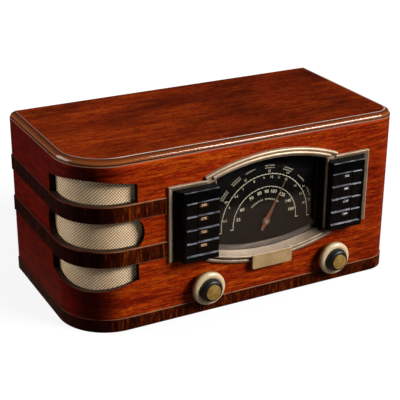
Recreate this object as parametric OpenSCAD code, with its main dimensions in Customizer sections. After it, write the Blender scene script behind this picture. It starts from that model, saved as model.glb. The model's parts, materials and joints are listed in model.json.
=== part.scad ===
// Tabletop radio of about 1940: bentwood cabinet with a grille that wraps one corner,
// a round airplane dial between two banks of push-button keys, and two knobs below.
// Millimetres. X runs left to right, Y from front to back, Z up from the table.
// The origin is the middle of the cabinet's footprint, on the table.

/* [Cabinet] */
// Width of the cabinet over its side walls
cab_w = 510; // [490:1:560]
// Depth of the cabinet from front face to rear edge
cab_d = 248; // [240:1:290]
// Height of the cabinet
cab_h = 252.5; // [248:0.5:275]
// Thickness of the bent and flat plywood walls
wall = 9; // [8:0.5:10]
// Outer radius of the bent corner that carries the grille
bend_r = 72; // [62:1:82]
// Outer radius of the other front corner
corner_r = 32; // [22:1:40]
// Thickness of the top panel
top_t = 12; // [10:0.5:15]
// Radius of the quarter-round bead along the top's edge
bead_r = 6.5; // [4:0.5:8]
// Step at each end of the bead
quirk = 1; // [0.6:0.2:1.4]
// Thickness of the bottom panel
bottom_t = 9; // [7:0.5:11]
// Section of the square cleats at the rear opening
cleat = 12; // [9:0.5:15]

/* [Bands] */
// Height of the dark base band
base_h = 20; // [15:0.5:26]
// How far the base band stands proud of the walls
base_proud = 1.2; // [0.8:0.1:2]
// Height of each dark band across the grille
band_h = 24; // [20:0.5:28]
// How far the grille bands stand proud of the walls
band_proud = 1.6; // [0.8:0.1:2.4]
// Depth of the lower grille band's bottom edge below the cabinet's mid height
low_band_z = 27.7; // [24:0.1:32]
// Height of the upper grille band's bottom edge above the cabinet's mid height
high_band_z = 37.3; // [33:0.1:41]

/* [Grille] */
// Distance from the cabinet's corner to the ends of the windows, along each face
window_reach = 90; // [80:1:98]
// How far the ends of the middle window bulge
window_bulge = 9.5; // [5:0.5:12]
// Height of the top window's upper corners above the cabinet's mid height
high_window_z = 88.3; // [80:0.1:93]
// Rise of the top window's arch
high_window_rise = 9.8; // [6:0.2:12]
// Depth of the bottom window's lower corners below the cabinet's mid height
low_window_z = 52.2; // [46:0.1:58]
// Drop of the bottom window's bow
low_window_drop = 13; // [8:0.5:16]
// Thickness of the stretched grille cloth
cloth_t = 1; // [0.6:0.1:1.5]

/* [Speaker] */
// Distance from the cabinet's corner to the ends of the speaker board, along each face
board_reach = 115; // [111:1:120]
// Thickness of the speaker board
board_t = 12; // [9:0.5:14]
// Outer radius of the speaker's rim
speaker_r = 66; // [60:0.5:68]
// Depth of the speaker's basket behind the board
basket_depth = 45; // [38:1:50]
// Height of the speaker's centre above the cabinet's mid height
speaker_z = 16.8; // [12:0.1:22]

/* [Dial] */
// Centre of the control panel, right of the cabinet's middle
panel_x = 40.7; // [38:0.1:48]
// Half width of the dial opening
window_half = 90; // [84:0.5:90]
// Height of the arch trim's crown above the pointer's axis
arch_z = 114.2; // [111:0.1:118]
// Outer radius of the arch trim
arch_r = 286; // [275:1:296]
// Width of the arch trim
arch_w = 12.3; // [11:0.1:14]
// Half length of the arch trim, measured across the panel
arch_half = 107; // [102:0.5:110]
// Depth of the sill trim's lowest edge below the pointer's axis
sill_z = 54; // [51:0.5:56]
// Outer radius of the sill trim
sill_r = 300; // [290:1:310]
// Half length of the sill trim, measured across the panel
sill_half = 105.8; // [98:0.2:107]
// Depth of the pointer's axis below the cabinet's mid height
dial_z = 12.2; // [11:0.1:14]
// Depth of the dial plate behind the front face
dial_depth = 16; // [15:0.1:17.5]
// Length of the pointer from its axis
pointer_len = 67; // [58:0.5:74]
// Angle of the pointer from upright, clockwise
pointer_rest = 27.6; // [0:0.1:60]

/* [Key banks] */
// Number of keys in each bank
keys = 4; // [3:1:4]
// Distance between neighbouring keys
key_pitch = 19.8; // [18.5:0.1:20]
// Gap between neighbouring keys
key_gap = 0.5; // [0.3:0.1:0.8]
// Travel of a key
key_travel = 5; // [3:0.5:5.5]
// Depth of the lowest key's bottom edge below the pointer's axis
key_z = 12.7; // [11.5:0.1:14]
// How far the banks stand out of the front face
bank_depth = 18.5; // [17:0.5:20]
// Height of the housing above the keys
bank_brow = 15.3; // [13:0.1:16]
// Height of the housing below the keys
bank_chin = 9.7; // [8.5:0.1:11]
// Inner edge of each bank's bezel, from the panel's centre
bezel_in = 90; // [89.5:0.1:90.5]
// Outer edge of each bank's bezel, from the panel's centre
bezel_out = 162.3; // [160:0.1:164]
// Width of the bezel's broad strips
bezel_w = 6.3; // [5:0.1:7]
// How far the bezels' outer edges stand out of the front face
bezel_h = 4.5; // [3.5:0.1:5.5]

/* [Knobs] */
// Distance of each knob from the panel's centre
knob_u = 105; // [102:0.5:108]
// Depth of the knobs' axes below the pointer's axis
knob_z = 71.8; // [70:0.1:74]
// Radius of the ivory skirt
skirt_r = 25.1; // [23:0.1:27]
// Radius of the knob's black body
core_r = 17; // [15.5:0.1:18]
// Radius of the brass cap
cap_r = 11.1; // [10:0.1:12.5]
// Radius of the control shafts
shaft_r = 3.175; // [2.8:0.005:3.3]

/* [Chassis] */
// Height of the pointer's axis above the chassis pan
chassis_h = 41; // [38:0.5:43]
// Depth of the chassis pan
chassis_d = 165; // [160:1:176]
// Thickness of the chassis steel
steel = 1.5; // [1:0.1:2]
// Distance of the chassis behind the front face
chassis_y = 34; // [33:0.5:36]

/* [Tuning] */
// Radius of the dial drum at the bottom of its groove
drum_r = 38; // [34:0.5:39]
// Reduction from the tuning knob to the dial pointer
reduction = 8; // [7:0.5:10]
// Diameter of the dial cord
cord_d = 1; // [0.8:0.1:1.2]
// Outer radius of the moving plates of the tuning capacitor
rotor_r = 26; // [22:0.5:28]
// Plates in each moving stack of the tuning capacitor
rotor_plates = 5; // [3:1:6]
// Distance between neighbouring moving plates
plate_pitch = 4; // [3.6:0.1:4.2]
// Thickness of the capacitor's plates
plate_t = 1; // [0.8:0.1:1.2]

/* [Hidden] */
$fn = 96;

// Clearances: between seated pieces, round a running shaft, and round a sliding key
seat_gap = 0.3;
run_gap = 0.08;
slide_gap = 0.25;
eps = 1;

// Cabinet places
left_x = -cab_w / 2;
right_x = cab_w / 2;
front_y = -cab_d / 2;
rear_y = cab_d / 2;
wall_top = cab_h - top_t;
bend_x = left_x + bend_r;
bend_y = front_y + bend_r;
corner_x = right_x - corner_r;
corner_y = front_y + corner_r;
seam_x = panel_x - bezel_out;
edge_w = bead_r + quirk;
cover_t = 3;
cover_inset = 4;
cover_y = rear_y - cover_inset - cover_t;
cloth_margin = 6;

// Heights above the table: the grille and the dial keep to the cabinet's mid height
mid_z = cab_h / 2;
low_band = mid_z - low_band_z;
low_band_top = low_band + band_h;
high_band = mid_z + high_band_z;
high_band_top = high_band + band_h;
high_corner = mid_z + high_window_z;
low_corner = mid_z - low_window_z;
speaker_axis_z = mid_z + speaker_z;
axis_z = mid_z - dial_z;
arch_centre = axis_z + arch_z - arch_r;
sill_centre = axis_z - sill_z + sill_r;
key_low = axis_z - key_z;
knob_axis_z = axis_z - knob_z;
chassis_top = axis_z - chassis_h;

// Speaker places, along the diagonal from the cabinet's corner
board_front = (board_reach + wall + seat_gap) / sqrt(2);
board_rear = board_front + board_t;
speaker_hole_r = speaker_r - 9;
frame_t = 1.5;

// Dial and control places; depths run back from the front face
glass_t = 1.6;
glass_y = wall + 0.2;
glass_rear = glass_y + glass_t;
pointer_t = 0.8;
pointer_y = glass_rear + 0.7;
plate_steel = 1;
drum_t = 8;
drum_y = dial_depth + plate_steel + 2;
cord_y = drum_y + drum_t / 2;
pulley_r = drum_r / reduction;
gang_y = 46;
gang_end_t = 2;
shaft_rear = chassis_y + 8;

// Key bank places, from the panel's centre outwards
key_in = 92;
key_out = 142;
housing_out = bezel_out - bezel_w;
housing_in = bezel_in + 1.5;
flange_t = 1.8;
bar_rear = -(flange_t + key_travel + 0.4);
skirt_rear = wall - key_travel - 0.6;
key_top = key_low + keys * key_pitch;
bank_top = key_top + bank_brow;
bank_low = key_low - bank_chin;
key_shoulder = 2.7;
well_in = key_in + key_shoulder;
well_out = key_out - key_shoulder;
stem_r = 3;
stem_len = 12;
stem_u = (well_in + well_out) / 2;
switch_depth = 26;

// Knob places, forward of the front face
skirt_back = 6.4;
skirt_front = 18;
core_seat = 9;
core_front = 26.2;
cap_seat = 20;
cap_front = 28.2;
shaft_front = cap_seat - 0.1;

// Radius of the arc over a half chord with a given rise
function arc_radius(half, rise) = (half * half + rise * rise) / (2 * rise);

// ---- Sweeps round the cabinet: the child's x is outward from the wall's face, its y is up

module along_left(y0, y1) {
    translate([left_x, y1, 0])
        mirror([1, 0, 0])
            rotate([90, 0, 0])
                linear_extrude(y1 - y0) children();
}

module around_bend() {
    translate([bend_x, bend_y, 0])
        rotate_extrude(angle = 90, start = 180)
            translate([bend_r, 0]) children();
}

module along_front(x0, x1) {
    translate([x0, front_y, 0])
        mirror([0, 1, 0])
            rotate([90, 0, 90])
                linear_extrude(x1 - x0) children();
}

module around_corner() {
    translate([corner_x, corner_y, 0])
        rotate_extrude(angle = 90, start = 270)
            translate([corner_r, 0]) children();
}

module along_right(y0, y1) {
    translate([right_x, y1, 0])
        rotate([90, 0, 0])
            linear_extrude(y1 - y0) children();
}

// A section carried from the rear left edge round the grille corner to x1
module sweep_left(x1) {
    along_left(bend_y, rear_y) children();
    around_bend() children();
    along_front(bend_x, x1) children();
}

// A section carried round the left side, the front and the right side
module sweep_all() {
    sweep_left(corner_x) children();
    around_corner() children();
    along_right(corner_y, rear_y) children();
}

module wall_section() {
    translate([-wall, 0]) square([wall, wall_top]);
}

// A band's section: flat face with a small bevel at both edges
module band_section(z0, h, proud) {
    bevel = proud / 2;
    polygon([[0, z0], [proud - bevel, z0], [proud, z0 + bevel],
             [proud, z0 + h - bevel], [proud - bevel, z0 + h], [0, z0 + h]]);
}

// ---- Places on the front: x from the panel's centre, y back from the front face

module at_panel(side = 1) {
    translate([panel_x, front_y, 0])
        mirror([side < 0 ? 1 : 0, 0, 0]) children();
}

// An outline seen from the front, given depth from y0 to y1
module facing(y0, y1) {
    translate([0, y1, 0])
        rotate([90, 0, 0])
            linear_extrude(y1 - y0) children();
}

// A section turned round an axis along Y at height z; the child's x is the radius, its y points forward
module turned(z, angle = 360, start = 0) {
    translate([0, 0, z])
        rotate([90, 0, 0])
            rotate_extrude(angle = angle, start = start, $fn = 240) children();
}

// The dial's outline between the arch and the sill
module dial_outline(half, top_r, low_r) {
    intersection() {
        translate([-half, 0]) square([2 * half, cab_h]);
        translate([0, arch_centre]) circle(top_r, $fn = 360);
        translate([0, sill_centre]) circle(low_r, $fn = 360);
    }
}

// ---- Cabinet

// Plan of a grille window: a block over the cabinet's corner
module window_block(z0, z1, reach) {
    translate([left_x - eps, front_y - eps, z0])
        cube([reach + eps, reach + eps, z1 - z0]);
}

// A cylinder along the plan diagonal through the cabinet's corner
module diagonal_cylinder(z, r) {
    translate([left_x, front_y, z])
        rotate([0, 0, 45])
            rotate([0, 90, 0])
                cylinder(h = 3 * bend_r, r = r, center = true, $fn = 200);
}

module top_window() {
    r = arc_radius(window_reach / sqrt(2), high_window_rise);
    crown = high_corner + high_window_rise;
    intersection() {
        window_block(high_band_top, crown + eps, window_reach);
        diagonal_cylinder(crown - r, r);
    }
}

module bottom_window() {
    r = arc_radius(window_reach / sqrt(2), low_window_drop);
    lowest = low_corner - low_window_drop;
    intersection() {
        window_block(lowest - eps, low_band, window_reach);
        diagonal_cylinder(lowest + r, r);
    }
}

module middle_window() {
    half = (high_band - low_band_top) / 2;
    r = arc_radius(half, window_bulge);
    middle = low_band_top + half;
    centre = window_reach + window_bulge - r;
    intersection() {
        window_block(low_band_top, high_band, window_reach + window_bulge + eps);
        union() {
            window_block(low_band_top - eps, high_band + eps, window_reach - window_bulge);
            translate([left_x + centre, front_y - eps, middle])
                rotate([-90, 0, 0]) cylinder(h = wall + 2 * eps, r = r);
            translate([left_x - eps, front_y + centre, middle])
                rotate([0, 90, 0]) cylinder(h = wall + 2 * eps, r = r);
        }
    }
}

module grille_wrap() color("firebrick") {
    difference() {
        sweep_left(seam_x) wall_section();
        top_window();
        middle_window();
        bottom_window();
    }
}

module front_panel() color("orangered") {
    difference() {
        along_front(seam_x, corner_x) wall_section();
        at_panel() {
            facing(-eps, wall + eps)
                dial_outline(window_half, arch_r - arch_w + 3.5, sill_r - sill_seat);
            for (side = [-1, 1]) {
                mirror([side < 0 ? 1 : 0, 0, 0])
                    translate([well_in - slide_gap, -eps, key_low - slide_gap])
                        cube([well_out - well_in + 2 * slide_gap, wall + 2 * eps,
                              keys * key_pitch + 2 * slide_gap]);
                translate([side * knob_u, -eps, knob_axis_z])
                    rotate([-90, 0, 0]) cylinder(h = wall + 2 * eps, r = shaft_r + 2);
            }
        }
    }
}

module right_side() color("firebrick") {
    around_corner() wall_section();
    along_right(corner_y, rear_y) wall_section();
}

// The top's edge: straight below, a step, the bead, and a step up to the top face
module top_edge() {
    difference() {
        translate([-2 * edge_w, wall_top]) square([2 * edge_w, top_t]);
        difference() {
            translate([-edge_w, cab_h - edge_w]) square(edge_w + eps);
            translate([-edge_w, cab_h - edge_w]) circle(bead_r);
        }
    }
}

module top_panel() color("saddlebrown") {
    inset = 2 * edge_w;
    sweep_all() top_edge();
    translate([0, 0, wall_top]) linear_extrude(top_t) {
        translate([bend_x, front_y + inset])
            square([corner_x - bend_x, cab_d - inset]);
        translate([left_x + inset, bend_y])
            square([cab_w - 2 * inset, rear_y - bend_y]);
        translate([corner_x - eps, corner_y])
            square([corner_r - inset + eps, rear_y - corner_y]);
        translate([bend_x, bend_y]) circle(bend_r - inset);
        translate([corner_x, corner_y]) circle(corner_r - inset);
    }
}

module bottom_panel() color("burlywood") {
    inset = wall + seat_gap;
    linear_extrude(bottom_t) {
        translate([bend_x, front_y + inset])
            square([corner_x - bend_x, cab_d - inset]);
        translate([left_x + inset, bend_y])
            square([cab_w - 2 * inset, rear_y - bend_y]);
        translate([corner_x - eps, corner_y])
            square([corner_r - inset + eps, rear_y - corner_y]);
        translate([bend_x, bend_y]) circle(bend_r - inset);
        translate([corner_x, corner_y]) circle(corner_r - inset);
    }
}

// Square cleats up both sides and under the top, which the back cover is screwed to
module cleats() color("burlywood") {
    inner = cab_w / 2 - wall;
    for (side = [-1, 1])
        translate([side * (inner - cleat / 2) - cleat / 2, cover_y - cleat, bottom_t])
            cube([cleat, cleat, wall_top - bottom_t]);
    translate([-inner + cleat, cover_y - cleat, wall_top - cleat])
        cube([2 * (inner - cleat), cleat, cleat]);
}

module base_band() color("#2a0f08") {
    sweep_all() band_section(0, base_h, base_proud);
}

module lower_band() color("#35140b") {
    sweep_left(seam_x) band_section(low_band, band_h, band_proud);
}

module upper_band() color("#35140b") {
    sweep_left(seam_x) band_section(high_band, band_h, band_proud);
}

module cloth_section() {
    low = bottom_t + seat_gap;
    translate([-wall - seat_gap - cloth_t, low]) square([cloth_t, wall_top - seat_gap - low]);
}

module grille_cloth() color("tan") {
    reach = window_reach + window_bulge + cloth_margin;
    along_left(bend_y, front_y + reach) cloth_section();
    around_bend() cloth_section();
    along_front(bend_x, left_x + reach) cloth_section();
}

// ---- Back

cover_half = cab_w / 2 - wall - 1;
vent_w = 26;
vent_h = 5;
vent_columns = 9;
vent_rows = 3;
vent_drop = 25;
grommet_r = 7;
grommet_u = 95;
grommet_x = panel_x + grommet_u;
grommet_z = bottom_t + 17;

module vents(z) {
    for (column = [0 : vent_columns - 1], row = [0 : vent_rows - 1])
        translate([(column - (vent_columns - 1) / 2) * 1.75 * vent_w - vent_w / 2,
                   cover_y - eps, z + row * 3 * vent_h])
            cube([vent_w, cover_t + 2 * eps, vent_h]);
}

module back_cover() color("#4a3524") {
    difference() {
        translate([-cover_half, cover_y, bottom_t + 1])
            cube([2 * cover_half, cover_t, wall_top - bottom_t - 2]);
        vents(chassis_top - vent_drop);
        vents(wall_top - cleat - 15 * vent_h / 2);
        translate([grommet_x, cover_y - eps, grommet_z])
            rotate([-90, 0, 0]) cylinder(h = cover_t + 2 * eps, r = grommet_r);
    }
}

module back_screws() color("gray") {
    inner = cab_w / 2 - wall - cleat / 2;
    places = concat(
        [for (side = [-1, 1], t = [0.15, 0.5, 0.85]) [side * inner, wall_top * t]],
        [for (x = [-0.5, 0.5]) [x * inner, wall_top - cleat / 2]]);
    for (place = places)
        translate([place[0], cover_y + cover_t, place[1]])
            rotate([-90, 0, 0])
                rotate_extrude()
                    intersection() {
                        translate([0, -5]) circle(7);
                        square([4, 3]);
                    }
}

// Rubber bush with a flange on each face of the cover
module cord_grommet() color("#202020") {
    bore = 3.5;
    translate([grommet_x, cover_y, grommet_z])
        rotate([-90, 0, 0])
            difference() {
                union() {
                    cylinder(h = cover_t, r = grommet_r);
                    translate([0, 0, -2]) cylinder(h = 2, r = grommet_r + 2);
                    translate([0, 0, cover_t]) cylinder(h = 2, r = grommet_r + 2);
                }
                translate([0, 0, -2 - eps]) cylinder(h = cover_t + 4 + 2 * eps, r = bore);
            }
}

// Flat winding on a card, fixed to the inside of the cover
module loop_antenna() color("peru") {
    w = 250;
    h = 82;
    card_t = 1.5;
    rim = 6;
    turn = 14;
    winding_t = 3;
    lift = 22;
    translate([-w / 2, cover_y, chassis_top + lift]) {
        facing(-card_t, 0) square([w, h]);
        facing(-card_t - winding_t, -card_t / 2) difference() {
            translate([rim, rim]) square([w - 2 * rim, h - 2 * rim]);
            translate([rim + turn, rim + turn])
                square([w - 2 * (rim + turn), h - 2 * (rim + turn)]);
        }
    }
}

// ---- Speaker, set across the grille corner; z runs inward along the diagonal

module speaker_axis() {
    translate([left_x, front_y, speaker_axis_z])
        rotate([0, 0, 45])
            rotate([0, 90, 0]) children();
}

module speaker_board() color("burlywood") {
    xl = left_x + wall + seat_gap;
    yf = front_y + wall + seat_gap;
    inner = board_reach + board_t * sqrt(2);
    difference() {
        translate([0, 0, bottom_t])
            linear_extrude(wall_top - bottom_t - seat_gap)
                polygon([[left_x + board_reach, yf], [left_x + inner, yf],
                         [xl, front_y + inner], [xl, front_y + board_reach]]);
        speaker_axis()
            translate([0, 0, board_front - eps])
                cylinder(h = board_t + 2 * eps, r = speaker_hole_r);
    }
}

module speaker_frame() color("dimgray") {
    back_r = 30;
    speaker_axis() translate([0, 0, board_rear]) difference() {
        rotate_extrude()
            polygon([[speaker_hole_r + 1, 0], [speaker_r, 0], [speaker_r, frame_t],
                     [speaker_r - 2, frame_t], [back_r, basket_depth], [0, basket_depth],
                     [0, basket_depth - frame_t], [back_r - 1, basket_depth - frame_t],
                     [speaker_r - 4, frame_t], [speaker_hole_r + 1, frame_t]]);
        for (turn = [45 : 90 : 315])
            rotate([0, 0, turn])
                translate([0, -back_r / 2, frame_t + 8])
                    cube([speaker_r, back_r, basket_depth - 18]);
    }
}

module speaker_cone() color("#3b3226") {
    coil_r = 13;
    paper = 0.8;
    depth = basket_depth - 16;
    speaker_axis() translate([0, 0, board_rear + frame_t])
        rotate_extrude()
            polygon([[speaker_hole_r + 1, 0], [speaker_r - 7, 0], [speaker_r - 7, paper],
                     [speaker_hole_r - 1, paper], [coil_r, depth], [0, depth - 4],
                     [0, depth - 4 - paper], [coil_r, depth - 1.5 * paper],
                     [speaker_hole_r - 2, 0]]);
}

module speaker_magnet() color("#30343a") {
    yoke_r = 26;
    yoke_t = 3;
    pot_r = 22;
    pot_len = 32;
    edge = 2;
    speaker_axis() translate([0, 0, board_rear + basket_depth])
        rotate_extrude()
            polygon([[0, 0], [yoke_r, 0], [yoke_r, yoke_t], [pot_r, yoke_t + edge],
                     [pot_r, pot_len - edge], [pot_r - edge, pot_len], [0, pot_len]]);
}

// ---- Chassis and what stands on it; u is from the panel's centre, v back from the front face

chassis_u0 = -128;
chassis_margin = 12;
chassis_u1 = right_x - wall - chassis_margin - panel_x;
socket_r = 17;
socket_t = 3;
left_column = -60;
inner_column = 18;
right_column = 70;
outer_column = 112;
front_row = 78;
can_row = 124;
rear_row = 172;
tube_places = [[left_column, front_row], [left_column, rear_row], [right_column, front_row],
               [right_column, rear_row], [inner_column, rear_row], [outer_column, rear_row]];
can_places = [[left_column, can_row], [right_column, can_row]];
transformer_u = 133;
transformer_v = 116;
output_u = -104;
output_v = 168;
filter_u = 104;
filter_pitch = 46;
filter_v = 66;
filter_r = 13;
filter_h = 76;

module on_chassis(u, v) {
    at_panel() translate([u, v, chassis_top]) children();
}

module chassis() color("silver") {
    w = chassis_u1 - chassis_u0;
    h = chassis_top - bottom_t;
    difference() {
        at_panel() difference() {
            translate([chassis_u0, chassis_y, bottom_t])
                cube([w, chassis_d, h]);
            translate([chassis_u0 + steel, chassis_y + steel, bottom_t - eps])
                cube([w - 2 * steel, chassis_d - 2 * steel, h - steel + eps]);
            for (side = [-1, 1])
                translate([side * knob_u, chassis_y - eps, knob_axis_z])
                    rotate([-90, 0, 0]) cylinder(h = steel + 2 * eps, r = bushing_r + 0.1);
        }
        for (place = tube_places)
            on_chassis(place[0], place[1])
                translate([0, 0, -steel - eps]) cylinder(h = steel + 2 * eps, r = socket_r - 2);
    }
}

// Laminated core with a bell over each end of its winding
module power_transformer() color("#1d1d1f") {
    core_w = 58;
    core_t = 28;
    core_h = 66;
    bell_t = 14;
    margin = 4;
    taper = 6;
    on_chassis(transformer_u, transformer_v) {
        translate([-core_w / 2, -core_t / 2, 0]) cube([core_w, core_t, core_h]);
        for (end = [0, 1])
            mirror([0, end, 0])
                translate([0, core_t / 2, core_h / 2])
                    hull() {
                        bell_face(0, core_w - 2 * margin, core_h - 3 * margin);
                        bell_face(bell_t - 1, core_w - 2 * margin - 2 * taper,
                                  core_h - 3 * margin - 2 * taper);
                    }
    }
}

// Thin plate w wide and h high, centred on the transformer's middle
module bell_face(y, w, h) {
    translate([-w / 2, y, -h / 2]) cube([w, 1, h]);
}

module output_transformer() color("#5a4a3a") {
    core_w = 40;
    core_t = 16;
    core_h = 34;
    coil_w = 26;
    coil_t = 30;
    coil_h = 20;
    on_chassis(output_u, output_v) {
        translate([-core_w / 2, -core_t / 2, 0]) cube([core_w, core_t, core_h]);
        translate([-coil_w / 2, -coil_t / 2, (core_h - coil_h) / 2]) cube([coil_w, coil_t, coil_h]);
    }
}

module filter_cans() color("gainsboro") {
    edge = 1.5;
    vent_r = 5;
    for (can = [0, 1])
        on_chassis(filter_u + can * filter_pitch, filter_v)
            rotate_extrude()
                polygon([[0, 0], [filter_r, 0], [filter_r, filter_h - edge], [filter_r - edge, filter_h],
                         [vent_r, filter_h], [vent_r, filter_h + 1], [0, filter_h + 1]]);
}

module tube_sockets() color("#2c1a10") {
    shell_r = socket_r - 2.5;
    shell_h = 8;
    for (place = tube_places)
        on_chassis(place[0], place[1]) {
            cylinder(h = socket_t, r = socket_r);
            translate([0, 0, -shell_h]) cylinder(h = shell_h, r = shell_r);
        }
}

// Octal tube: base, waist, shoulder and dome
module tubes() color("lightblue") {
    base_r = 15;
    base_h = 22;
    bulb_r = 19;
    dome_r = 12;
    dome_h = 86;
    for (place = tube_places)
        on_chassis(place[0], place[1])
            translate([0, 0, socket_t])
                rotate_extrude()
                    union() {
                        square([base_r, base_h]);
                        polygon([[0, base_h], [base_r - 2, base_h], [bulb_r, dome_h - 38],
                                 [bulb_r, dome_h - 28], [dome_r, dome_h - 14], [dome_r, dome_h],
                                 [0, dome_h + dome_r / 2]]);
                    }
}

module if_cans() color("silver") {
    side = 34;
    can_h = 80;
    edge_r = 3;
    flat = side - 2 * edge_r;
    for (place = can_places)
        on_chassis(place[0], place[1])
            linear_extrude(can_h)
                union() {
                    square([side, flat], center = true);
                    square([flat, side], center = true);
                    for (x = [-1, 1], y = [-1, 1])
                        translate([x * flat / 2, y * flat / 2]) circle(edge_r);
                }
}

// ---- Tuning capacitor: two stacks of plates on one shaft

stack_t = (rotor_plates + 1) * plate_pitch;
gang_bay = stack_t + 6;
gang_len = 2 * gang_bay + 3 * gang_end_t;
gang_w = 2 * rotor_r + 16;
hub_r = 6;

// Depth of the first moving plate of a stack
function stack_y(stack) = gang_y + gang_end_t + 3 + plate_pitch / 2 + stack * (gang_bay + gang_end_t);

module gang_frame() color("silver") {
    base_t = 2;
    over_shaft = 9;
    at_panel() {
        translate([-gang_w / 2, gang_y, chassis_top]) cube([gang_w, gang_len, base_t]);
        for (wall_no = [0 : 2])
            facing(gang_y + wall_no * (gang_bay + gang_end_t),
                   gang_y + wall_no * (gang_bay + gang_end_t) + gang_end_t)
                difference() {
                    translate([-gang_w / 2, chassis_top])
                        square([gang_w, axis_z + over_shaft - chassis_top]);
                    translate([0, axis_z]) circle(shaft_r + run_gap);
                }
    }
}

// Fixed plates: half rings below the shaft, joined by two rods through the end walls' insulators
module gang_stators() color("lightgray") {
    rod_r = 2;
    rod_u = rotor_r + 4;
    rod_z = axis_z - 3;
    at_panel() for (stack = [0, 1]) {
        for (plate = [0 : rotor_plates])
            facing(stack_y(stack) + (plate - 0.5) * plate_pitch,
                   stack_y(stack) + (plate - 0.5) * plate_pitch + plate_t)
                difference() {
                    translate([0, axis_z]) circle(rotor_r + 7);
                    translate([0, axis_z]) circle(hub_r + 2);
                    translate([-gang_w, axis_z]) square([2 * gang_w, gang_w]);
                }
        for (side = [-1, 1])
            translate([side * rod_u, stack_y(stack) - plate_pitch / 2 - 3, rod_z])
                rotate([-90, 0, 0]) cylinder(h = gang_bay, r = rod_r);
    }
}

module gang_rotor() color("silver") {
    shaft_y = glass_rear + seat_gap;
    at_panel() {
        translate([0, shaft_y, axis_z])
            rotate([-90, 0, 0]) cylinder(h = gang_y + gang_len + 2 - shaft_y, r = shaft_r);
        for (stack = [0, 1]) {
            translate([0, stack_y(stack) - 1, axis_z])
                rotate([-90, 0, 0])
                    cylinder(h = (rotor_plates - 1) * plate_pitch + plate_t + 2, r = hub_r);
            for (plate = [0 : rotor_plates - 1])
                facing(stack_y(stack) + plate * plate_pitch,
                       stack_y(stack) + plate * plate_pitch + plate_t)
                    translate([0, axis_z])
                        rotate(90 - pointer_rest)
                            intersection() {
                                circle(rotor_r);
                                translate([-rotor_r, 0]) square([2 * rotor_r, rotor_r]);
                            }
        }
    }
}

// Grooved drum on the pointer's shaft
module dial_drum() color("peru") {
    rim = 2;
    groove = cord_d / 2 + 0.6;
    at_panel() translate([0, drum_y + drum_t, 0]) turned(axis_z)
        polygon([[shaft_r + 0.02, 0], [drum_r + rim, 0], [drum_r + rim, drum_t / 2 - groove],
                 [drum_r, drum_t / 2 - groove / 2], [drum_r, drum_t / 2 + groove / 2],
                 [drum_r + rim, drum_t / 2 + groove], [drum_r + rim, drum_t], [shaft_r + 0.02, drum_t]]);
}

// Closed loop of cord: round the drum, round the tuning shaft, and the two straight runs between
module dial_cord() color("ivory") {
    lay = cord_d / 2 + 0.1;
    parting = 0.05;
    far_r = drum_r + lay;
    near_r = pulley_r + lay;
    reach = sqrt(knob_u * knob_u + (axis_z - knob_axis_z) * (axis_z - knob_axis_z));
    heading = atan2(knob_axis_z - axis_z, knob_u);
    half_wrap = acos((far_r - near_r) / reach);
    at_panel() translate([0, cord_y, 0]) rotate([90, 0, 0]) {
        translate([0, axis_z])
            rotate_extrude(angle = 360 - 2 * half_wrap, start = heading + half_wrap)
                translate([far_r, 0]) circle(d = cord_d);
        translate([knob_u, knob_axis_z])
            rotate_extrude(angle = 2 * half_wrap, start = heading - half_wrap)
                translate([near_r, 0]) circle(d = cord_d);
        for (side = [-1, 1])
            translate([0, axis_z])
                rotate(heading + side * half_wrap)
                    translate([far_r, 0])
                        mirror([0, side < 0 ? 1 : 0, 0])
                            rotate([90, 0, 0])
                                translate([0, 0, parting])
                                    linear_extrude(reach * sin(half_wrap) - 2 * parting)
                                        circle(d = cord_d);
    }
}

// ---- Controls

bushing_r = 4.8;
bushing_len = 8;
nut_r = 7;

// Threaded bushing and nut for each control shaft in the chassis wall
module shaft_bushings() color("darkgoldenrod") {
    at_panel() for (side = [-1, 1])
        translate([side * knob_u, chassis_y, knob_axis_z])
            rotate([-90, 0, 0])
                difference() {
                    union() {
                        translate([0, 0, 3 - bushing_len])
                            cylinder(h = bushing_len - 3 + steel, r = bushing_r);
                        translate([0, 0, -2.5]) cylinder(h = 2.5, r = nut_r, $fn = 6);
                        if (side > 0) translate([0, 0, steel]) cylinder(h = 3, r = nut_r);
                    }
                    translate([0, 0, -bushing_len]) cylinder(h = 2 * bushing_len, r = shaft_r + run_gap);
                }
}

module volume_control() color("#3a3a3a") {
    at_panel(-1) translate([knob_u, chassis_y + steel, knob_axis_z])
        rotate([-90, 0, 0])
            difference() {
                cylinder(h = 13, r = 12);
                translate([0, 0, -eps]) cylinder(h = 10 + eps, r = shaft_r + run_gap);
            }
}

// z runs forward out of the front face along a knob's axis
module knob_axis(side) {
    at_panel(side) translate([knob_u, 0, knob_axis_z]) rotate([90, 0, 0]) children();
}

// Ivory skirt behind the knob, with a rolled rim
module knob_skirt(side) color("ivory") {
    roll_r = 5.2;
    edge = 2;
    roll_mid = skirt_front - roll_r;
    knob_axis(side) rotate_extrude() difference() {
        union() {
            polygon([[shaft_r + 0.05, skirt_back], [skirt_r - edge, skirt_back],
                     [skirt_r, skirt_back + edge], [skirt_r, roll_mid], [skirt_r - roll_r, roll_mid],
                     [skirt_r - roll_r, skirt_front - 0.8], [core_r, skirt_front - 1.6],
                     [shaft_r + 0.05, skirt_front - 1.6]]);
            translate([skirt_r - roll_r, roll_mid]) circle(roll_r);
        }
        translate([0, core_seat]) square([core_r + 0.2, skirt_front]);
    }
}

// Black body of the knob, with a recess for its cap
module knob_body(side) color("#141414") {
    edge = 1.5;
    knob_axis(side) rotate_extrude()
        polygon([[shaft_r + 0.05, core_seat], [core_r, core_seat], [core_r, core_front - 3 * edge],
                 [core_r - edge, core_front - edge], [core_r - 2 * edge, core_front],
                 [cap_r + 0.1, core_front], [cap_r + 0.1, cap_seat], [shaft_r + 0.05, cap_seat]]);
}

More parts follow.
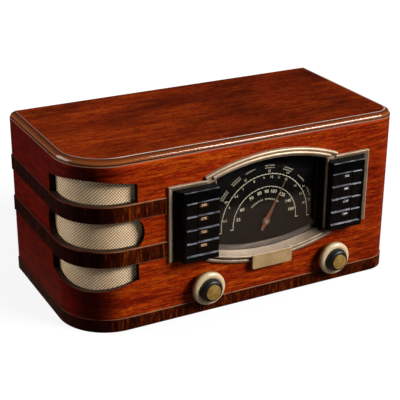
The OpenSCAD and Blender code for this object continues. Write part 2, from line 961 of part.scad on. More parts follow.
// Domed brass cap
module knob_cap(side) color("darkkhaki") {
    rise = 1.2;
    r = arc_radius(cap_r, rise);
    knob_axis(side) rotate_extrude() union() {
        translate([0, cap_seat]) square([cap_r, cap_front - cap_seat]);
        intersection() {
            translate([0, cap_front + rise - r]) circle(r, $fn = 200);
            translate([0, cap_front]) square([cap_r, rise + 1]);
        }
    }
}

module volume_shaft() color("silver") {
    bore_depth = 9;
    at_panel(-1) translate([knob_u, -shaft_front, knob_axis_z])
        rotate([-90, 0, 0])
            cylinder(h = shaft_front + chassis_y + steel + bore_depth, r = shaft_r);
}

// Tuning shaft, with the drive pulley that the dial cord runs on
module tuning_shaft() color("silver") {
    flange = 1.5;
    at_panel() translate([knob_u, -shaft_front, knob_axis_z]) rotate([-90, 0, 0]) {
        cylinder(h = shaft_front + shaft_rear, r = shaft_r);
        translate([0, 0, shaft_front + drum_y]) rotate_extrude()
            polygon([[0, 0], [pulley_r + flange, 0], [pulley_r + flange, 0.3 * drum_t],
                     [pulley_r, 0.4 * drum_t], [pulley_r, 0.6 * drum_t],
                     [pulley_r + flange, 0.7 * drum_t], [pulley_r + flange, drum_t], [0, drum_t]]);
        translate([0, 0, shaft_front + chassis_y + steel + 3.3]) cylinder(h = 1, r = shaft_r + 2);
    }
}

// ---- Dial

// Printed dial plate with a lip folded forward along its foot, and two feet on the chassis
module dial_plate() color("#15120f") {
    foot_w = 22;
    foot_u = window_half - 30;
    foot_h = 30;
    lip_half = 81;
    lip_low = sill_r - sill_shelf - 1;
    lip_high = lip_low - 5.5;
    lip_y = glass_rear + seat_gap;
    lip_t = 1.2;
    lip_sweep = 2 * asin(lip_half / lip_low);
    at_panel() {
        facing(dial_depth, dial_depth + plate_steel) difference() {
            dial_outline(window_half + 1, arch_r - arch_w + 4, sill_r - sill_seat - 3);
            translate([0, axis_z]) circle(shaft_r + 1);
        }
        turned(sill_centre, lip_sweep, 270 - lip_sweep / 2)
            polygon([[lip_low, -lip_y], [lip_high, -dial_depth - plate_steel / 2],
                     [lip_high + lip_t, -dial_depth - plate_steel / 2], [lip_low + lip_t, -lip_y]]);
        for (side = [-1, 1])
            translate([side * foot_u - foot_w / 2, dial_depth + plate_steel, chassis_top]) {
                cube([foot_w, chassis_y + 10 - dial_depth - plate_steel, plate_steel]);
                cube([foot_w, plate_steel, foot_h]);
            }
    }
}

module dial_glass() color("lightcyan", 0.3) {
    at_panel() facing(glass_y, glass_rear)
        dial_outline(window_half + 1, arch_r - arch_w + 5, sill_r - sill_seat - 2);
}

// Dial lamps in clips behind the upper corners of the plate
module pilot_lamps() color("gold") {
    lamp_u = 62;
    lamp_up = 66;
    lamp_r = 5.5;
    lamp_len = 12;
    at_panel() for (side = [-1, 1])
        translate([side * lamp_u, dial_depth + plate_steel, 0])
            turned(axis_z + lamp_up)
                mirror([0, 1])
                    polygon([[0, 0], [lamp_r, 0], [lamp_r, lamp_len - 3], [lamp_r - 1.5, lamp_len],
                             [0, lamp_len]]);
}

// Tapered pointer, swelling to a hub
module pointer() color("#c2622a") {
    hub = 6;
    root = 3.4;
    neck = 1.8;
    waist = 0.65;
    tip = 0.4;
    at_panel() facing(pointer_y, pointer_y + pointer_t)
        translate([0, axis_z]) rotate(-pointer_rest)
            difference() {
                union() {
                    circle(hub);
                    polygon([[-root, hub - 1.2], [root, hub - 1.2], [neck, 0.3 * pointer_len],
                             [waist, 0.55 * pointer_len], [tip, pointer_len], [-tip, pointer_len],
                             [-waist, 0.55 * pointer_len], [-neck, 0.3 * pointer_len]]);
                }
                circle(shaft_r + 0.02);
            }
}

// ---- Metal trim

arch_rib_r = 2.6;
arch_rib_y = 3;
sill_seat = 6;
sill_shelf = 16;
sill_rim_w = 6.5;
sill_roll_r = 2.2;
sill_roll_d = 10.6;
sill_roll_y = 4.9;

// Sweep of an arc over a half chord
function arc_sweep(half, r) = 2 * asin(half / r);

// Outer rib of the arch on its base; x runs from the arch's inner edge
module arch_outer_section() {
    translate([arch_r - arch_w, 0]) square([arch_w, arch_rib_y - 0.8]);
    translate([arch_r - 2 * arch_rib_r, 0]) square([2 * arch_rib_r, arch_rib_y]);
    translate([arch_r - arch_rib_r, arch_rib_y]) circle(arch_rib_r);
}

// Inner rib of the arch, with the slope that falls from it to the glass
module arch_inner_section() {
    edge_h = 1.8;
    run = arch_w - 3 * arch_rib_r;
    rise = arch_rib_y - edge_h;
    reach = sqrt(run * run + rise * rise);
    slope = atan2(rise, run) + asin(arch_rib_r / reach);
    tangent = sqrt(reach * reach - arch_rib_r * arch_rib_r);
    translate([arch_r - arch_w, 0]) {
        polygon([[0, 0], [0, edge_h], [tangent * cos(slope), edge_h + tangent * sin(slope)],
                 [run, arch_rib_y], [run + arch_rib_r, arch_rib_y], [run + arch_rib_r, 0]]);
        translate([run, arch_rib_y]) circle(arch_rib_r);
    }
}

// Arch over the dial: two ribs, the inner one shorter, and a lip back to the glass
module arch_trim() color("#c9b58a") {
    sweep = arc_sweep(arch_half, arch_r);
    inner_sweep = arc_sweep(arch_half - 10, arch_r);
    lip_sweep = arc_sweep(window_half - 0.5, arch_r);
    lip_t = 1.5;
    at_panel() {
        turned(arch_centre, sweep, 90 - sweep / 2) arch_outer_section();
        turned(arch_centre, inner_sweep, 90 - inner_sweep / 2) arch_inner_section();
        turned(arch_centre, lip_sweep, 90 - lip_sweep / 2)
            translate([arch_r - arch_w, -wall]) square([lip_t, wall + eps]);
    }
}

// Space taken by the arch's ends, cleared from the bezels and housings under them
module arch_space() {
    sweep = arc_sweep(arch_half, arch_r) + 0.1;
    turned(arch_centre, sweep, 90 - sweep / 2)
        translate([arch_r - arch_w - 0.15, -1]) square([arch_w + 1, arch_rib_y + arch_rib_r + 1.4]);
}

// Sill under the dial: a low rounded rim, a groove, a roll, and a shelf back to the glass
module sill_trim() color("#c9b58a") {
    rim_h = 4.1;
    rim_edge = 1.5;
    rim_r = arc_radius(sill_rim_w / 2, rim_h - rim_edge);
    groove_h = 1.4;
    roll_out = sill_r - sill_roll_d + sill_roll_r;
    roll_in = sill_r - sill_roll_d - sill_roll_r;
    sweep = arc_sweep(sill_half, sill_r);
    shelf_sweep = arc_sweep(window_half - 0.5, sill_r);
    at_panel() {
        turned(sill_centre, sweep, 270 - sweep / 2) {
            translate([sill_r - sill_rim_w, 0]) square([sill_rim_w, rim_edge]);
            intersection() {
                translate([sill_r - sill_rim_w / 2, rim_h - rim_r]) circle(rim_r);
                translate([sill_r - sill_rim_w, 0]) square([sill_rim_w, rim_h]);
            }
            translate([roll_in, 0]) square([sill_r - 1 - roll_in, groove_h]);
            translate([roll_in, 0]) square([roll_out - roll_in, sill_roll_y]);
            translate([sill_r - sill_roll_d, sill_roll_y]) circle(sill_roll_r);
        }
        turned(sill_centre, shelf_sweep, 270 - shelf_sweep / 2)
            polygon([[roll_in + 0.4, sill_roll_y], [sill_r - sill_shelf, -wall],
                     [sill_r - sill_shelf + 3, -wall], [sill_r - sill_seat - seat_gap, -wall / 2],
                     [sill_r - sill_seat - seat_gap, groove_h / 2], [roll_out - 0.4, sill_roll_y]]);
    }
}

// Space taken by the sill's ends, cleared from the housings above them
module sill_space() {
    sweep = arc_sweep(sill_half, sill_r) + 0.4;
    depth = sill_roll_d + sill_roll_r + 0.4;
    turned(sill_centre, sweep, 270 - sweep / 2)
        translate([sill_r - depth, -1])
            square([depth + 1, sill_roll_y + sill_roll_r + 1.4]);
}

// Blank name tab in front of the sill's middle
module name_tab() color("#cdbd98") {
    tab_w = 65;
    tab_h = 21;
    tab_front = 9.6;
    plate_t = 2;
    box_y = 4.4;
    box_h = 14;
    foot_h = 4;
    edge = 1;
    tab_low = axis_z - sill_z - 6.7;
    at_panel() {
        facing(-tab_front, plate_t - tab_front) union() {
            translate([-tab_w / 2, tab_low + edge]) square([tab_w, tab_h - 2 * edge]);
            translate([-tab_w / 2 + edge, tab_low]) square([tab_w - 2 * edge, tab_h]);
        }
        facing(plate_t / 2 - tab_front, -box_y)
            translate([-tab_w / 2 + edge, tab_low]) square([tab_w - 2 * edge, box_h]);
        facing(-box_y - 1, -0.2)
            translate([-tab_w / 2 + 3 * edge, tab_low + 0.5]) square([tab_w - 6 * edge, foot_h]);
    }
}

// A block with bevelled front edges
module bevelled(u0, u1, z0, z1, h, b) {
    intersection() {
        translate([0, 0, z0]) linear_extrude(z1 - z0)
            polygon([[u0, 0], [u0, b - h], [u0 + b, -h], [u1 - b, -h], [u1, b - h], [u1, 0]]);
        translate([u0, 0, 0]) rotate([90, 0, 90]) linear_extrude(u1 - u0)
            polygon([[0, z0], [b - h, z0], [-h, z0 + b], [-h, z1 - b], [b - h, z1], [0, z1]]);
    }
}

// Mitred bezel round each key bank: a raised outer edge sloping in to the housing, notched for the arch
module bank_bezels() color("#c9b58a") {
    rim = 2;
    foot = 1.6;
    front = -bezel_h - eps;
    bezel_low = bank_low - 1;
    bezel_top = bank_top + bezel_w;
    bezel_len = bezel_top - bezel_low;
    gap = 0.1;
    for (side = [-1, 1])
        at_panel(side) difference() {
            bevelled(bezel_in, bezel_out, bezel_low, bezel_top, bezel_h, 0.5);
            translate([housing_in - gap, front, bezel_low - eps])
                cube([housing_out - housing_in + 2 * gap, bezel_h + 2 * eps,
                      bank_top + gap - bezel_low + eps]);
            intersection() {
                translate([0, 0, bezel_low - eps]) linear_extrude(bezel_len)
                    polygon([[housing_in, front], [housing_in, -foot], [housing_out, -foot],
                             [bezel_out - rim, -bezel_h], [bezel_out - rim, front]]);
                rotate([90, 0, 90]) linear_extrude(bezel_out)
                    polygon([[front, bezel_low - eps], [-foot, bezel_low - eps], [-foot, bank_top],
                             [-bezel_h, bezel_top - rim], [front, bezel_top - rim]]);
            }
            arch_space();
        }
}

// ---- Key banks

// Housing: a brow above the keys, a chin below, a sloping cheek outside and a flange behind
module key_housing(side) color("#101010") {
    chin_base = bank_low - 4.5;
    cheek_t = 2;
    chin_bevel = 1.9;
    chin_top = key_low - slide_gap;
    past_key = 5;
    at_panel(side) difference() {
        intersection() {
            translate([0, 0, chin_base]) linear_extrude(bank_top - chin_base)
                polygon([[housing_in, 0], [housing_in, -flange_t], [key_in + 0.6, -bank_depth],
                         [key_out + 3.3, -bank_depth], [key_out + 5.5, 4.4 - bank_depth],
                         [housing_out, -cheek_t], [housing_out, 0]]);
            rotate([90, 0, 90]) linear_extrude(bezel_out)
                polygon([[0, bank_top], [1 - bank_depth, bank_top], [-bank_depth, bank_top - 1],
                         [-bank_depth, bank_low], [-cheek_t, chin_base], [0, chin_base]]);
        }
        translate([key_in - past_key, -bank_depth - eps, key_low - slide_gap])
            cube([key_out - key_in + past_key + slide_gap, bank_depth + eps - flange_t,
                  keys * key_pitch + 2 * slide_gap]);
        translate([well_in - slide_gap, -flange_t - eps, key_low - slide_gap])
            cube([well_out - well_in + 2 * slide_gap, flange_t + 2 * eps,
                  keys * key_pitch + 2 * slide_gap]);
        translate([key_in - past_key, 0, 0]) rotate([90, 0, 90])
            linear_extrude(key_out - key_in + past_key + slide_gap)
                polygon([[-bank_depth - 1, chin_top - chin_bevel - 1],
                         [chin_bevel + 1 - bank_depth, chin_top + 1], [-bank_depth - 1, chin_top + 1]]);
        facing(-bank_depth - eps, -0.01)
            polygon([[key_out - 5, bank_low - 6], [housing_out + 1, bank_low + 6],
                     [housing_out + 1, bank_low - 6]]);
        sill_space();
        arch_space();
    }
}

// Key: a bar with a thin ledge, a plain inner part with a tab recess and a rounded finger pad outside
module key(side, number) color("#181818") {
    low = key_low + (keys - number) * key_pitch + key_gap / 2;
    high = low + key_pitch - key_gap;
    split = key_in + 0.66 * (key_out - key_in);
    slot = 1.2;
    lean = 2.4;
    ledge = 1.9;
    round_r = 4;
    tab_w = 14;
    tab_h = 5.4;
    tab_sink = 1.6;
    front = -bank_depth;
    at_panel(side) {
        difference() {
            translate([key_in, 0, 0]) rotate([90, 0, 90]) linear_extrude(split - key_in)
                polygon([[bar_rear, low], [front + lean, low], [front, high - ledge],
                         [front + ledge, high], [bar_rear, high]]);
            translate([split - tab_w - 2, front - eps, high - tab_h - 4.2])
                cube([tab_w, eps + tab_sink, tab_h]);
        }
        translate([split, 0, 0]) rotate([90, 0, 90]) linear_extrude(slot)
            polygon([[bar_rear, low], [front + 4, low], [front + 4, high], [bar_rear, high]]);
        translate([split + slot, 0, 0]) rotate([90, 0, 90]) linear_extrude(key_out - split - slot)
            union() {
                polygon([[bar_rear, low], [front + lean, low], [front, high - round_r],
                         [front + round_r, high - round_r], [front + round_r, high], [bar_rear, high]]);
                intersection() {
                    translate([front + round_r, high - round_r]) circle(round_r);
                    translate([front - eps, high - round_r]) square([round_r + eps, round_r]);
                }
            }
        translate([well_in, bar_rear, low]) cube([well_out - well_in, skirt_rear - bar_rear, high - low]);
        translate([stem_u, skirt_rear, (low + high) / 2])
            rotate([-90, 0, 0]) cylinder(h = wall + stem_len - skirt_rear, r = stem_r);
    }
}

// Switch block behind each bank, with a guide bore for every key's stem
module key_switches() color("#6b5a3c") {
    plate_t = 2;
    side_margin = 3;
    end_margin = 6;
    block_inset = 8;
    for (side = [-1, 1])
        at_panel(side) difference() {
            union() {
                translate([well_in - side_margin, wall, key_low - end_margin])
                    cube([well_out - well_in + 2 * side_margin, plate_t,
                          keys * key_pitch + 2 * end_margin]);
                translate([well_in + block_inset, wall + plate_t, key_low])
                    cube([well_out - well_in - 2 * block_inset, switch_depth - 2 * plate_t,
                          keys * key_pitch]);
            }
            for (number = [1 : keys])
                translate([stem_u, wall - eps, key_low + (number - 0.5) * key_pitch])
                    rotate([-90, 0, 0])
                        cylinder(h = stem_len + key_travel + 1 + eps, r = stem_r + 0.1);
        }
}

grille_wrap();
front_panel();
right_side();
top_panel();
bottom_panel();
cleats();
base_band();
lower_band();
upper_band();
grille_cloth();
back_cover();
back_screws();
cord_grommet();
loop_antenna();
speaker_board();
speaker_frame();
speaker_cone();
speaker_magnet();
output_transformer();
chassis();
power_transformer();
filter_cans();
tube_sockets();
tubes();
if_cans();
gang_frame();
gang_stators();
gang_rotor();
dial_drum();
dial_cord();
shaft_bushings();
volume_control();
dial_plate();
dial_glass();
pilot_lamps();
pointer();
arch_trim();
sill_trim();
name_tab();
bank_bezels();
key_housing(-1);  // left_key_housing
key_housing(1);  // right_key_housing
key_switches();
key(-1, 1);  // left_key_1
key(-1, 2);  // left_key_2
key(-1, 3);  // left_key_3
key(-1, 4);  // left_key_4
key(1, 1);  // right_key_1
key(1, 2);  // right_key_2
key(1, 3);  // right_key_3
key(1, 4);  // right_key_4
knob_skirt(-1);  // volume_skirt
knob_body(-1);  // volume_knob
knob_cap(-1);  // volume_cap
volume_shaft();
knob_skirt(1);  // tuning_skirt
knob_body(1);  // tuning_knob
knob_cap(1);  // tuning_cap
tuning_shaft();
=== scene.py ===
# %% [markdown]
# A wooden table radio of about 1940. The construction is loaded as a fixed frame in metres:
# every cabinet wall, key and knob is already an object at its real place. This file gives
# those pieces their finishes and adds what is printed, woven or slotted on them.

# %% The frame
import json
import math

import bmesh
import bpy
from mathutils import Matrix, Vector


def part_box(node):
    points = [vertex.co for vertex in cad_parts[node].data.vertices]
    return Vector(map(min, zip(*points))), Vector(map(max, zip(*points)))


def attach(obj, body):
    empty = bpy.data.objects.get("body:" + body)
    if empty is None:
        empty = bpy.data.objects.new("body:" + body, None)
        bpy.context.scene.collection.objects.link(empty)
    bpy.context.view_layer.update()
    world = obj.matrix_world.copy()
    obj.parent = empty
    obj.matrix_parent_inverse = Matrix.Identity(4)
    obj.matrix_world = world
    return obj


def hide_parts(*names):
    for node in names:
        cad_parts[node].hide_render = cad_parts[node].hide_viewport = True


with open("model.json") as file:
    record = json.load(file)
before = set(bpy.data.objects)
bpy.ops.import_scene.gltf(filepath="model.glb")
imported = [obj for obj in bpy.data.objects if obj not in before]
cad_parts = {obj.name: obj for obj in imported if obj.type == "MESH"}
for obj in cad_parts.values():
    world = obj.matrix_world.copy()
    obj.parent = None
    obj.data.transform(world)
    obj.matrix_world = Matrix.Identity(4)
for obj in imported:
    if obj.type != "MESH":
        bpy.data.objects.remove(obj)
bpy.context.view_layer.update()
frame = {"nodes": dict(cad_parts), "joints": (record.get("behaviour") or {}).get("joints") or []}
nodes = frame["nodes"]
MM = 0.001

# %% [markdown]
# Places are read from the frame, so that nothing here has to be moved when a size changes.
# The dial's centre is the pointer's axis, and the cabinet's front and sides are the faces of
# its panels. The tight corner is what the front panel leaves free at its right end. The wide
# bend and the depth of the top's bead can't be read from a box, so they are given here.

# %% Places
hub = Vector(next(joint["pos_m"] for joint in frame["joints"] if joint["name"] == "pointer_turn"))
front_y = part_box("front_panel")[0].y
left_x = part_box("grille_wrap")[0].x
right_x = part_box("right_side")[1].x
cabinet_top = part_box("top_panel")[1].z
corner_r = right_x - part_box("front_panel")[1].x
bend_r = 72 * MM
bead_low = cabinet_top - 7.5 * MM
plate_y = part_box("pilot_lamps")[0].y - 1 * MM  # the plate lies 1 mm in front of the lamps
print("dial centre", tuple(round(v, 4) for v in hub), "front face", round(front_y, 4))

# %% [markdown]
# The camera stands in front and to the left, looks down at the set and is far away, so that
# the cabinet's edges nearly stay parallel. A long lens does that. It is rolled by a third of
# a degree, as a hand-levelled tripod is.

# %% Camera
def put(name, data):
    """A new object in the scene, made of data."""
    made = bpy.data.objects.new(name, data)
    bpy.context.scene.collection.objects.link(made)
    return made


camera = put("camera", bpy.data.cameras.new("camera"))
camera.data.lens = 97.47
camera.data.sensor_width = 36
camera.data.clip_end = 50
camera.location = (-0.6995, -1.3206, 0.7606)
view = Vector((0.42565, 0.81244, -0.39846))
roll = Matrix.Rotation(math.radians(0.36), 3, "Z")
camera.rotation_mode = "QUATERNION"
camera.rotation_quaternion = (view.to_track_quat("-Z", "Y").to_matrix() @ roll).to_quaternion()
bpy.context.scene.camera = camera
print("camera looks down", round(math.degrees(math.asin(-view.z)), 1), "degrees")

# %% [markdown]
# Every finish below is a small graph of shader nodes. One helper adds a node: it sets the
# node's own properties, fills each named or numbered input with a value or a link, gives a
# colour ramp its colours and returns an output to link on. Colours are the hex values that a
# designer would use, turned to linear light. A value that is even over a surface is set on
# the shader itself.

# %% Helpers for materials
def colour(code):
    parts = [int(code[i:i + 2], 16) / 255 for i in (1, 3, 5)]
    return (*[p / 12.92 if p <= 0.04045 else ((p + 0.055) / 1.055) ** 2.4 for p in parts], 1)


def add(tree, kind, inputs=None, stops=(), out=0, **settings):
    """Adds a node and returns its output out; stops are a ramp's (position, colour code) pairs."""
    made = tree.nodes.new(kind)
    for name, value in settings.items():
        setattr(made, name, value)
    for key, value in (inputs or {}).items():
        if isinstance(value, bpy.types.NodeSocket):
            tree.links.new(value, made.inputs[key])
        else:
            made.inputs[key].default_value = value
    for number, (position, code) in enumerate(stops):
        elements = made.color_ramp.elements
        element = elements[number] if number < 2 else elements.new(position)
        element.position = position
        element.color = colour(code)
    return made.outputs[out]


def finish_of(name, **shader):
    """A new material with its node tree and Principled node; shader holds that node's even values."""
    material = bpy.data.materials.new(name)
    material.use_nodes = True
    tree = material.node_tree
    principled = tree.nodes["Principled BSDF"]
    for key, value in shader.items():
        principled.inputs[key.replace("_", " ")].default_value = value
    return material, tree, principled


def paint(material, *names):
    """Gives construction pieces their finish."""
    for name in names:
        slots = nodes[name].data.materials
        slots.clear()
        slots.append(material)


print("a mid grey is", round(colour("#808080")[0], 3), "in linear light")

# %% [markdown]
# A finish varies with where a point lies, which way the surface faces, or by chance. Each of
# these three gives a socket. Places are object coordinates, so a pattern stays on its piece.

# %% What a finish depends on
def coordinate(tree, axis):
    """One object coordinate, in metres."""
    place = add(tree, "ShaderNodeTexCoord", out="Object")
    return add(tree, "ShaderNodeSeparateXYZ", {0: place}, out=axis)


def facing(tree, axis):
    """One part of the surface's direction: 1 where it faces along the axis."""
    normal = add(tree, "ShaderNodeNewGeometry", out="Normal")
    return add(tree, "ShaderNodeSeparateXYZ", {0: normal}, out=axis)


def patches(tree, scale, offset=(0, 0, 0), place=None, **noise):
    """Soft random patches between 0 and 1; scale is how many lie in a metre along each axis."""
    if place is None:
        place = add(tree, "ShaderNodeTexCoord", out="Object")
    spread = add(tree, "ShaderNodeMapping", {"Vector": place, "Location": offset, "Scale": scale})
    return add(tree, "ShaderNodeTexNoise", {"Vector": spread, "Scale": 1.0, **noise}, out="Fac")


print("places, directions and patches ready")

# %% [markdown]
# One colour covers another as paint, wear, dust or a painted highlight does, or stains it as
# toner, dirt and painted shade do, which darken what lies under them. Both follow a value that changes over
# the surface.

# %% Paint and stain
def covered(tree, base, top, value, start=0.0, end=1.0):
    """The colour base, which turns to the colour top where value passes from start to end."""
    share = add(tree, "ShaderNodeMapRange", {"Value": value, 1: start, 2: end})
    return add(tree, "ShaderNodeMix", {0: share, 6: base, 7: top}, out=2, data_type="RGBA")


def stained(tree, base, value, stops, share=1.0):
    """The colour base, multiplied by a stain that takes its colour from stops as value grows."""
    stain = add(tree, "ShaderNodeValToRGB", {"Fac": value}, stops)
    return add(tree, "ShaderNodeMix", {0: share, 6: base, 7: stain}, out=2,
               data_type="RGBA", blend_type="MULTIPLY")


print("paint and stain ready")

# %% [markdown]
# Several finishes change with the distance from the cabinet's outer edge: the top's bead is
# worn paler along its rim and carries a painted shadow and glow, and the walls are painted dark
# where the grille was sawn out. In plan the cabinet is a rectangle with one wide and one tight
# corner, so that distance is a corner radius less the length of the part of the offset that lies past the
# corner's centre.

# %% Distance from the cabinet's edge
def edge_distance(tree):
    """The distance in from the cabinet's front and side faces, in millimetres."""
    place = add(tree, "ShaderNodeTexCoord", out="Object")
    depths = []
    for radius, turn, centre in (
            (bend_r, (-1, -1, 0), (left_x + bend_r, front_y + bend_r, 0)),
            (corner_r, (1, -1, 0), (corner_r - right_x, front_y + corner_r, 0))):
        beyond = add(tree, "ShaderNodeVectorMath", {0: place, 1: turn, 2: centre}, operation="MULTIPLY_ADD")
        past = add(tree, "ShaderNodeVectorMath", {0: beyond, 1: (0, 0, 0)}, operation="MAXIMUM")
        reach = add(tree, "ShaderNodeVectorMath", {0: past}, out="Value", operation="LENGTH")
        depths.append(add(tree, "ShaderNodeMath", {0: radius, 1: reach}, operation="SUBTRACT"))
    least = add(tree, "ShaderNodeMath", {0: depths[0], 1: depths[1]}, operation="MINIMUM")
    return add(tree, "ShaderNodeMath", {0: least, 1: 1 / MM}, operation="MULTIPLY")


print("corners of", round(bend_r / MM), "and", round(corner_r / MM), "mm")

# %% [markdown]
# The cabinet is plywood faced with ribbon mahogany veneer, stained red-brown and sprayed with
# lacquer. Ribbon figure is streaks a few millimetres wide and up to 100 mm long, with short
# dark pores along them, and where the fibres dip the lacquer shows small flecks. A scan of
# real veneer could be laid on, but noise that is stretched along the grain draws all three at
# any size. The stained wood mirrors in its own red, and the lacquer adds a thin clear gloss.
# Real pores are 0.2 mm wide: they are drawn five times as wide, because finer ones don't show.

# %% Veneer
def veneer(name, tones, along, fine, seed, **shader):
    """Lacquered veneer: tones dark to light, along the figure's length in mm, fine the axes across it."""
    material, tree, principled = finish_of(name, **{
        "Roughness": 0.55, "Coat_Weight": 0.04, "Coat_Roughness": 0.12,
        "Specular_IOR_Level": 0.12, "Specular_Tint": colour("#ff9559"), **shader})

    def streaks(length, width, **noise):
        scale = [1000 / (width if axis else length) for axis in fine]
        return patches(tree, scale, (seed, seed * 1.7, seed * 0.3), **noise)

    figure = streaks(along * 1.6, 14, Detail=4.0, Roughness=0.6, Distortion=0.6)
    streak = streaks(along * 0.34, 2.2, Detail=6.0, Roughness=0.7, Distortion=0.3)
    mixed = add(tree, "ShaderNodeMix", {0: 0.68, 2: figure, 3: streak})
    body = add(tree, "ShaderNodeValToRGB", {"Fac": mixed}, zip((0.38, 0.46, 0.53, 0.62), tones))
    pore = streaks(26, 1.1, Detail=3.0, Roughness=0.6)
    grained = stained(tree, body, pore, [(0.34, "#a89c94"), (0.52, "#ffffff")])
    fleck = streaks(6, 2.2, Detail=3.0, Roughness=0.7)
    flecked = stained(tree, grained, fleck, [(0.3, "#9c8c84"), (0.5, "#e0dad6"), (0.7, "#ffffff")])
    return material, tree, principled, flecked


print("veneer ready")

# %% [markdown]
# Cabinet shops sprayed dark red toner under the last coat, most on the bend and the sides, so
# that the front stands out. Here that darkening is toner and painted shade together: it darkens
# the veneer on the bend and the sides, where less light falls. Its strength follows the distance
# from the left or right face, measured across the width of the bend, and the right side's
# toner and shade thin out slowly over half of the front.

# %% Toner and painted shade
wall_toner_and_shade = ("#603436", "#a04038")


def toned(tree, base, bend, side):
    """The colour base under toner and painted shade: bend and side are their colours there; faint over the
    front's right half.
    """
    across = coordinate(tree, "X")
    left = add(tree, "ShaderNodeMapRange", {"Value": across, 1: left_x, 2: left_x + bend_r})
    round_bend = stained(tree, base, left, [
        (0.07, side), (0.26, bend), (0.45, bend), (0.66, "#a78f8f"), (0.86, "#e8e2e0"), (0.99, "#ffffff")])
    right = add(tree, "ShaderNodeMapRange", {
        "Value": across, 1: right_x - 2 * MM, 2: right_x - 0.55 * (right_x - left_x)})
    return stained(tree, round_bend, right, [(0.0, side), (0.035, "#dccfc8"), (1.0, "#ffffff")])


print("toner from", round(left_x, 3), "to", round(left_x + bend_r, 3))

# %% [markdown]
# Walls: mahogany under toner and painted shade, with its grain level, also round the bends. The
# faces inside the openings are painted near black, so every face more than half a millimetre
# behind the outer surface gets that paint, and the ones that face upwards are painted a lighter
# grey brown as a painted highlight.

# %% Walls
wall_tones = ("#781406", "#9a2808", "#b23a08", "#ce5c12")


def wall_veneer():
    material, tree, principled, grained = veneer("front_mahogany", wall_tones, 95, (0, 0, 1), 3.1)
    # Inside faces: near black paint, with a painted highlight making the upward ones a lighter grey brown;
    # toner and painted shade darken the bend and sides.
    inside = covered(tree, colour("#0c0604"), colour("#2e221a"), facing(tree, "Z"), 0.3, 0.6)
    shown = covered(tree, toned(tree, grained, *wall_toner_and_shade), inside, edge_distance(tree), 0.4, 0.9)
    tree.links.new(shown, principled.inputs["Base Color"])
    return material


paint(wall_veneer(), "front_panel", "right_side", "grille_wrap")
print("walls lacquered")

# %% [markdown]
# Top: the same veneer with its grain along the front edge, cloudy stains, and a slow darkening
# to the right. On its upright rim the streaks match the walls, a thin pale line just under the
# bead is a painted highlight, and above that line a dark band is painted shadow under the bead.

# %% Top's veneer and rim
def clouded(tree, base):
    """Stains in soft clouds, and a slow darkening towards the right."""
    cloud = patches(tree, (9, 16, 9), (2, 5, 0), Detail=5.0)
    spotted = stained(tree, base, cloud, [(0.32, "#8f8078"), (0.6, "#ffffff")], 0.8)
    rightwards = add(tree, "ShaderNodeMapRange", {"Value": coordinate(tree, "X"), 1: left_x, 2: right_x})
    return stained(tree, spotted, rightwards, [
        (0.0, "#ffffff"), (0.5, "#ded2cc"), (1.0, "#d2c4bc")])


def rim(tree):
    """The top's upright rim: streaks under toner and painted shade, then a painted highlight line, then
    painted shadow under the bead.
    """
    streak = patches(tree, (10.5, 10.5, 312), (3.1, 5.3, 0.9), Detail=5.0)
    grained = add(tree, "ShaderNodeValToRGB", {"Fac": streak}, zip((0.3, 0.44, 0.56, 0.7), wall_tones))
    height = coordinate(tree, "Z")
    # A thin pale line below the bead is a painted highlight.
    wear_and_painted_light = covered(tree, toned(tree, grained, *wall_toner_and_shade), colour("#a06a54"),
                   height, bead_low - 2.3 * MM, bead_low - 1.8 * MM)
    # Above it, a dark band is painted shadow under the bead.
    return covered(tree, wear_and_painted_light, colour("#2a1610"), height, bead_low - 0.5 * MM, bead_low - 0.2 * MM)


print("rim lined from", round(bead_low - 2.3 * MM, 4))

# %% [markdown]
# The bead round the top is rubbed to a paler orange and polished by cloths, so it takes far
# more of the clear coat than the flat top. Its foot is darkened as a painted shadow, and a lighter
# band above that is a painted glow round its gleam. A pale line lies in the fine step behind it:
# dried wax, and a painted highlight on the step's edge. Both follow the distance from the
# cabinet's edge, and the bead's colours follow its height.

# %% Top with its bead
def top_veneer():
    material, tree, principled, grained = veneer(
        "top_mahogany", ("#721806", "#982e06", "#b24008", "#d05e0e"), 110, (0, 1, 0), 11.0,
        Coat_Roughness=0.07)
    flat = clouded(tree, grained)
    depth = edge_distance(tree)
    # A pale line in the step behind the bead: dried wax, and a painted highlight on the step's edge.
    wax_and_highlight_line = toned(tree, colour("#e6cec2"), "#b8988c", "#7c5c50")
    with_wax_and_highlight = covered(tree, covered(tree, flat, wax_and_highlight_line, depth, 7.4, 7.7), flat, depth, 9.2, 10.0)
    rise = add(tree, "ShaderNodeMapRange", {"Value": coordinate(tree, "Z"), 1: bead_low, 2: cabinet_top})
    # The bead's colours by height: painted shadow at its foot, a painted glow above that, darker towards its
    # top.
    colours_with_painted_light = add(tree, "ShaderNodeValToRGB", {"Fac": rise}, [
        (0.1, "#1e0e08"), (0.16, "#80421e"), (0.5, "#8a4a20"), (0.72, "#6a3010"), (1.0, "#54220c")])
    beaded = covered(tree, with_wax_and_highlight, colours_with_painted_light, depth, 7.2, 6.8)
    shown = covered(tree, rim(tree), beaded, facing(tree, "Z"), 0.02, 0.08)
    tree.links.new(shown, principled.inputs["Base Color"])
    polish = add(tree, "ShaderNodeMapRange", {"Value": depth, 1: 7.2, 2: 6.8, 3: 0.04, 4: 0.7})
    tree.links.new(polish, principled.inputs["Coat Weight"])
    return material


paint(top_veneer(), "top_panel")
print("top lacquered")

# %% [markdown]
# Bands: dark striped veneer laid across, so the stripes stand upright. Along both edges of a
# band a thin, broken pale line is paler sanded wood under the stain and partly a painted
# highlight on the arris. A colour that follows the height draws it, without a chamfer in the mesh.

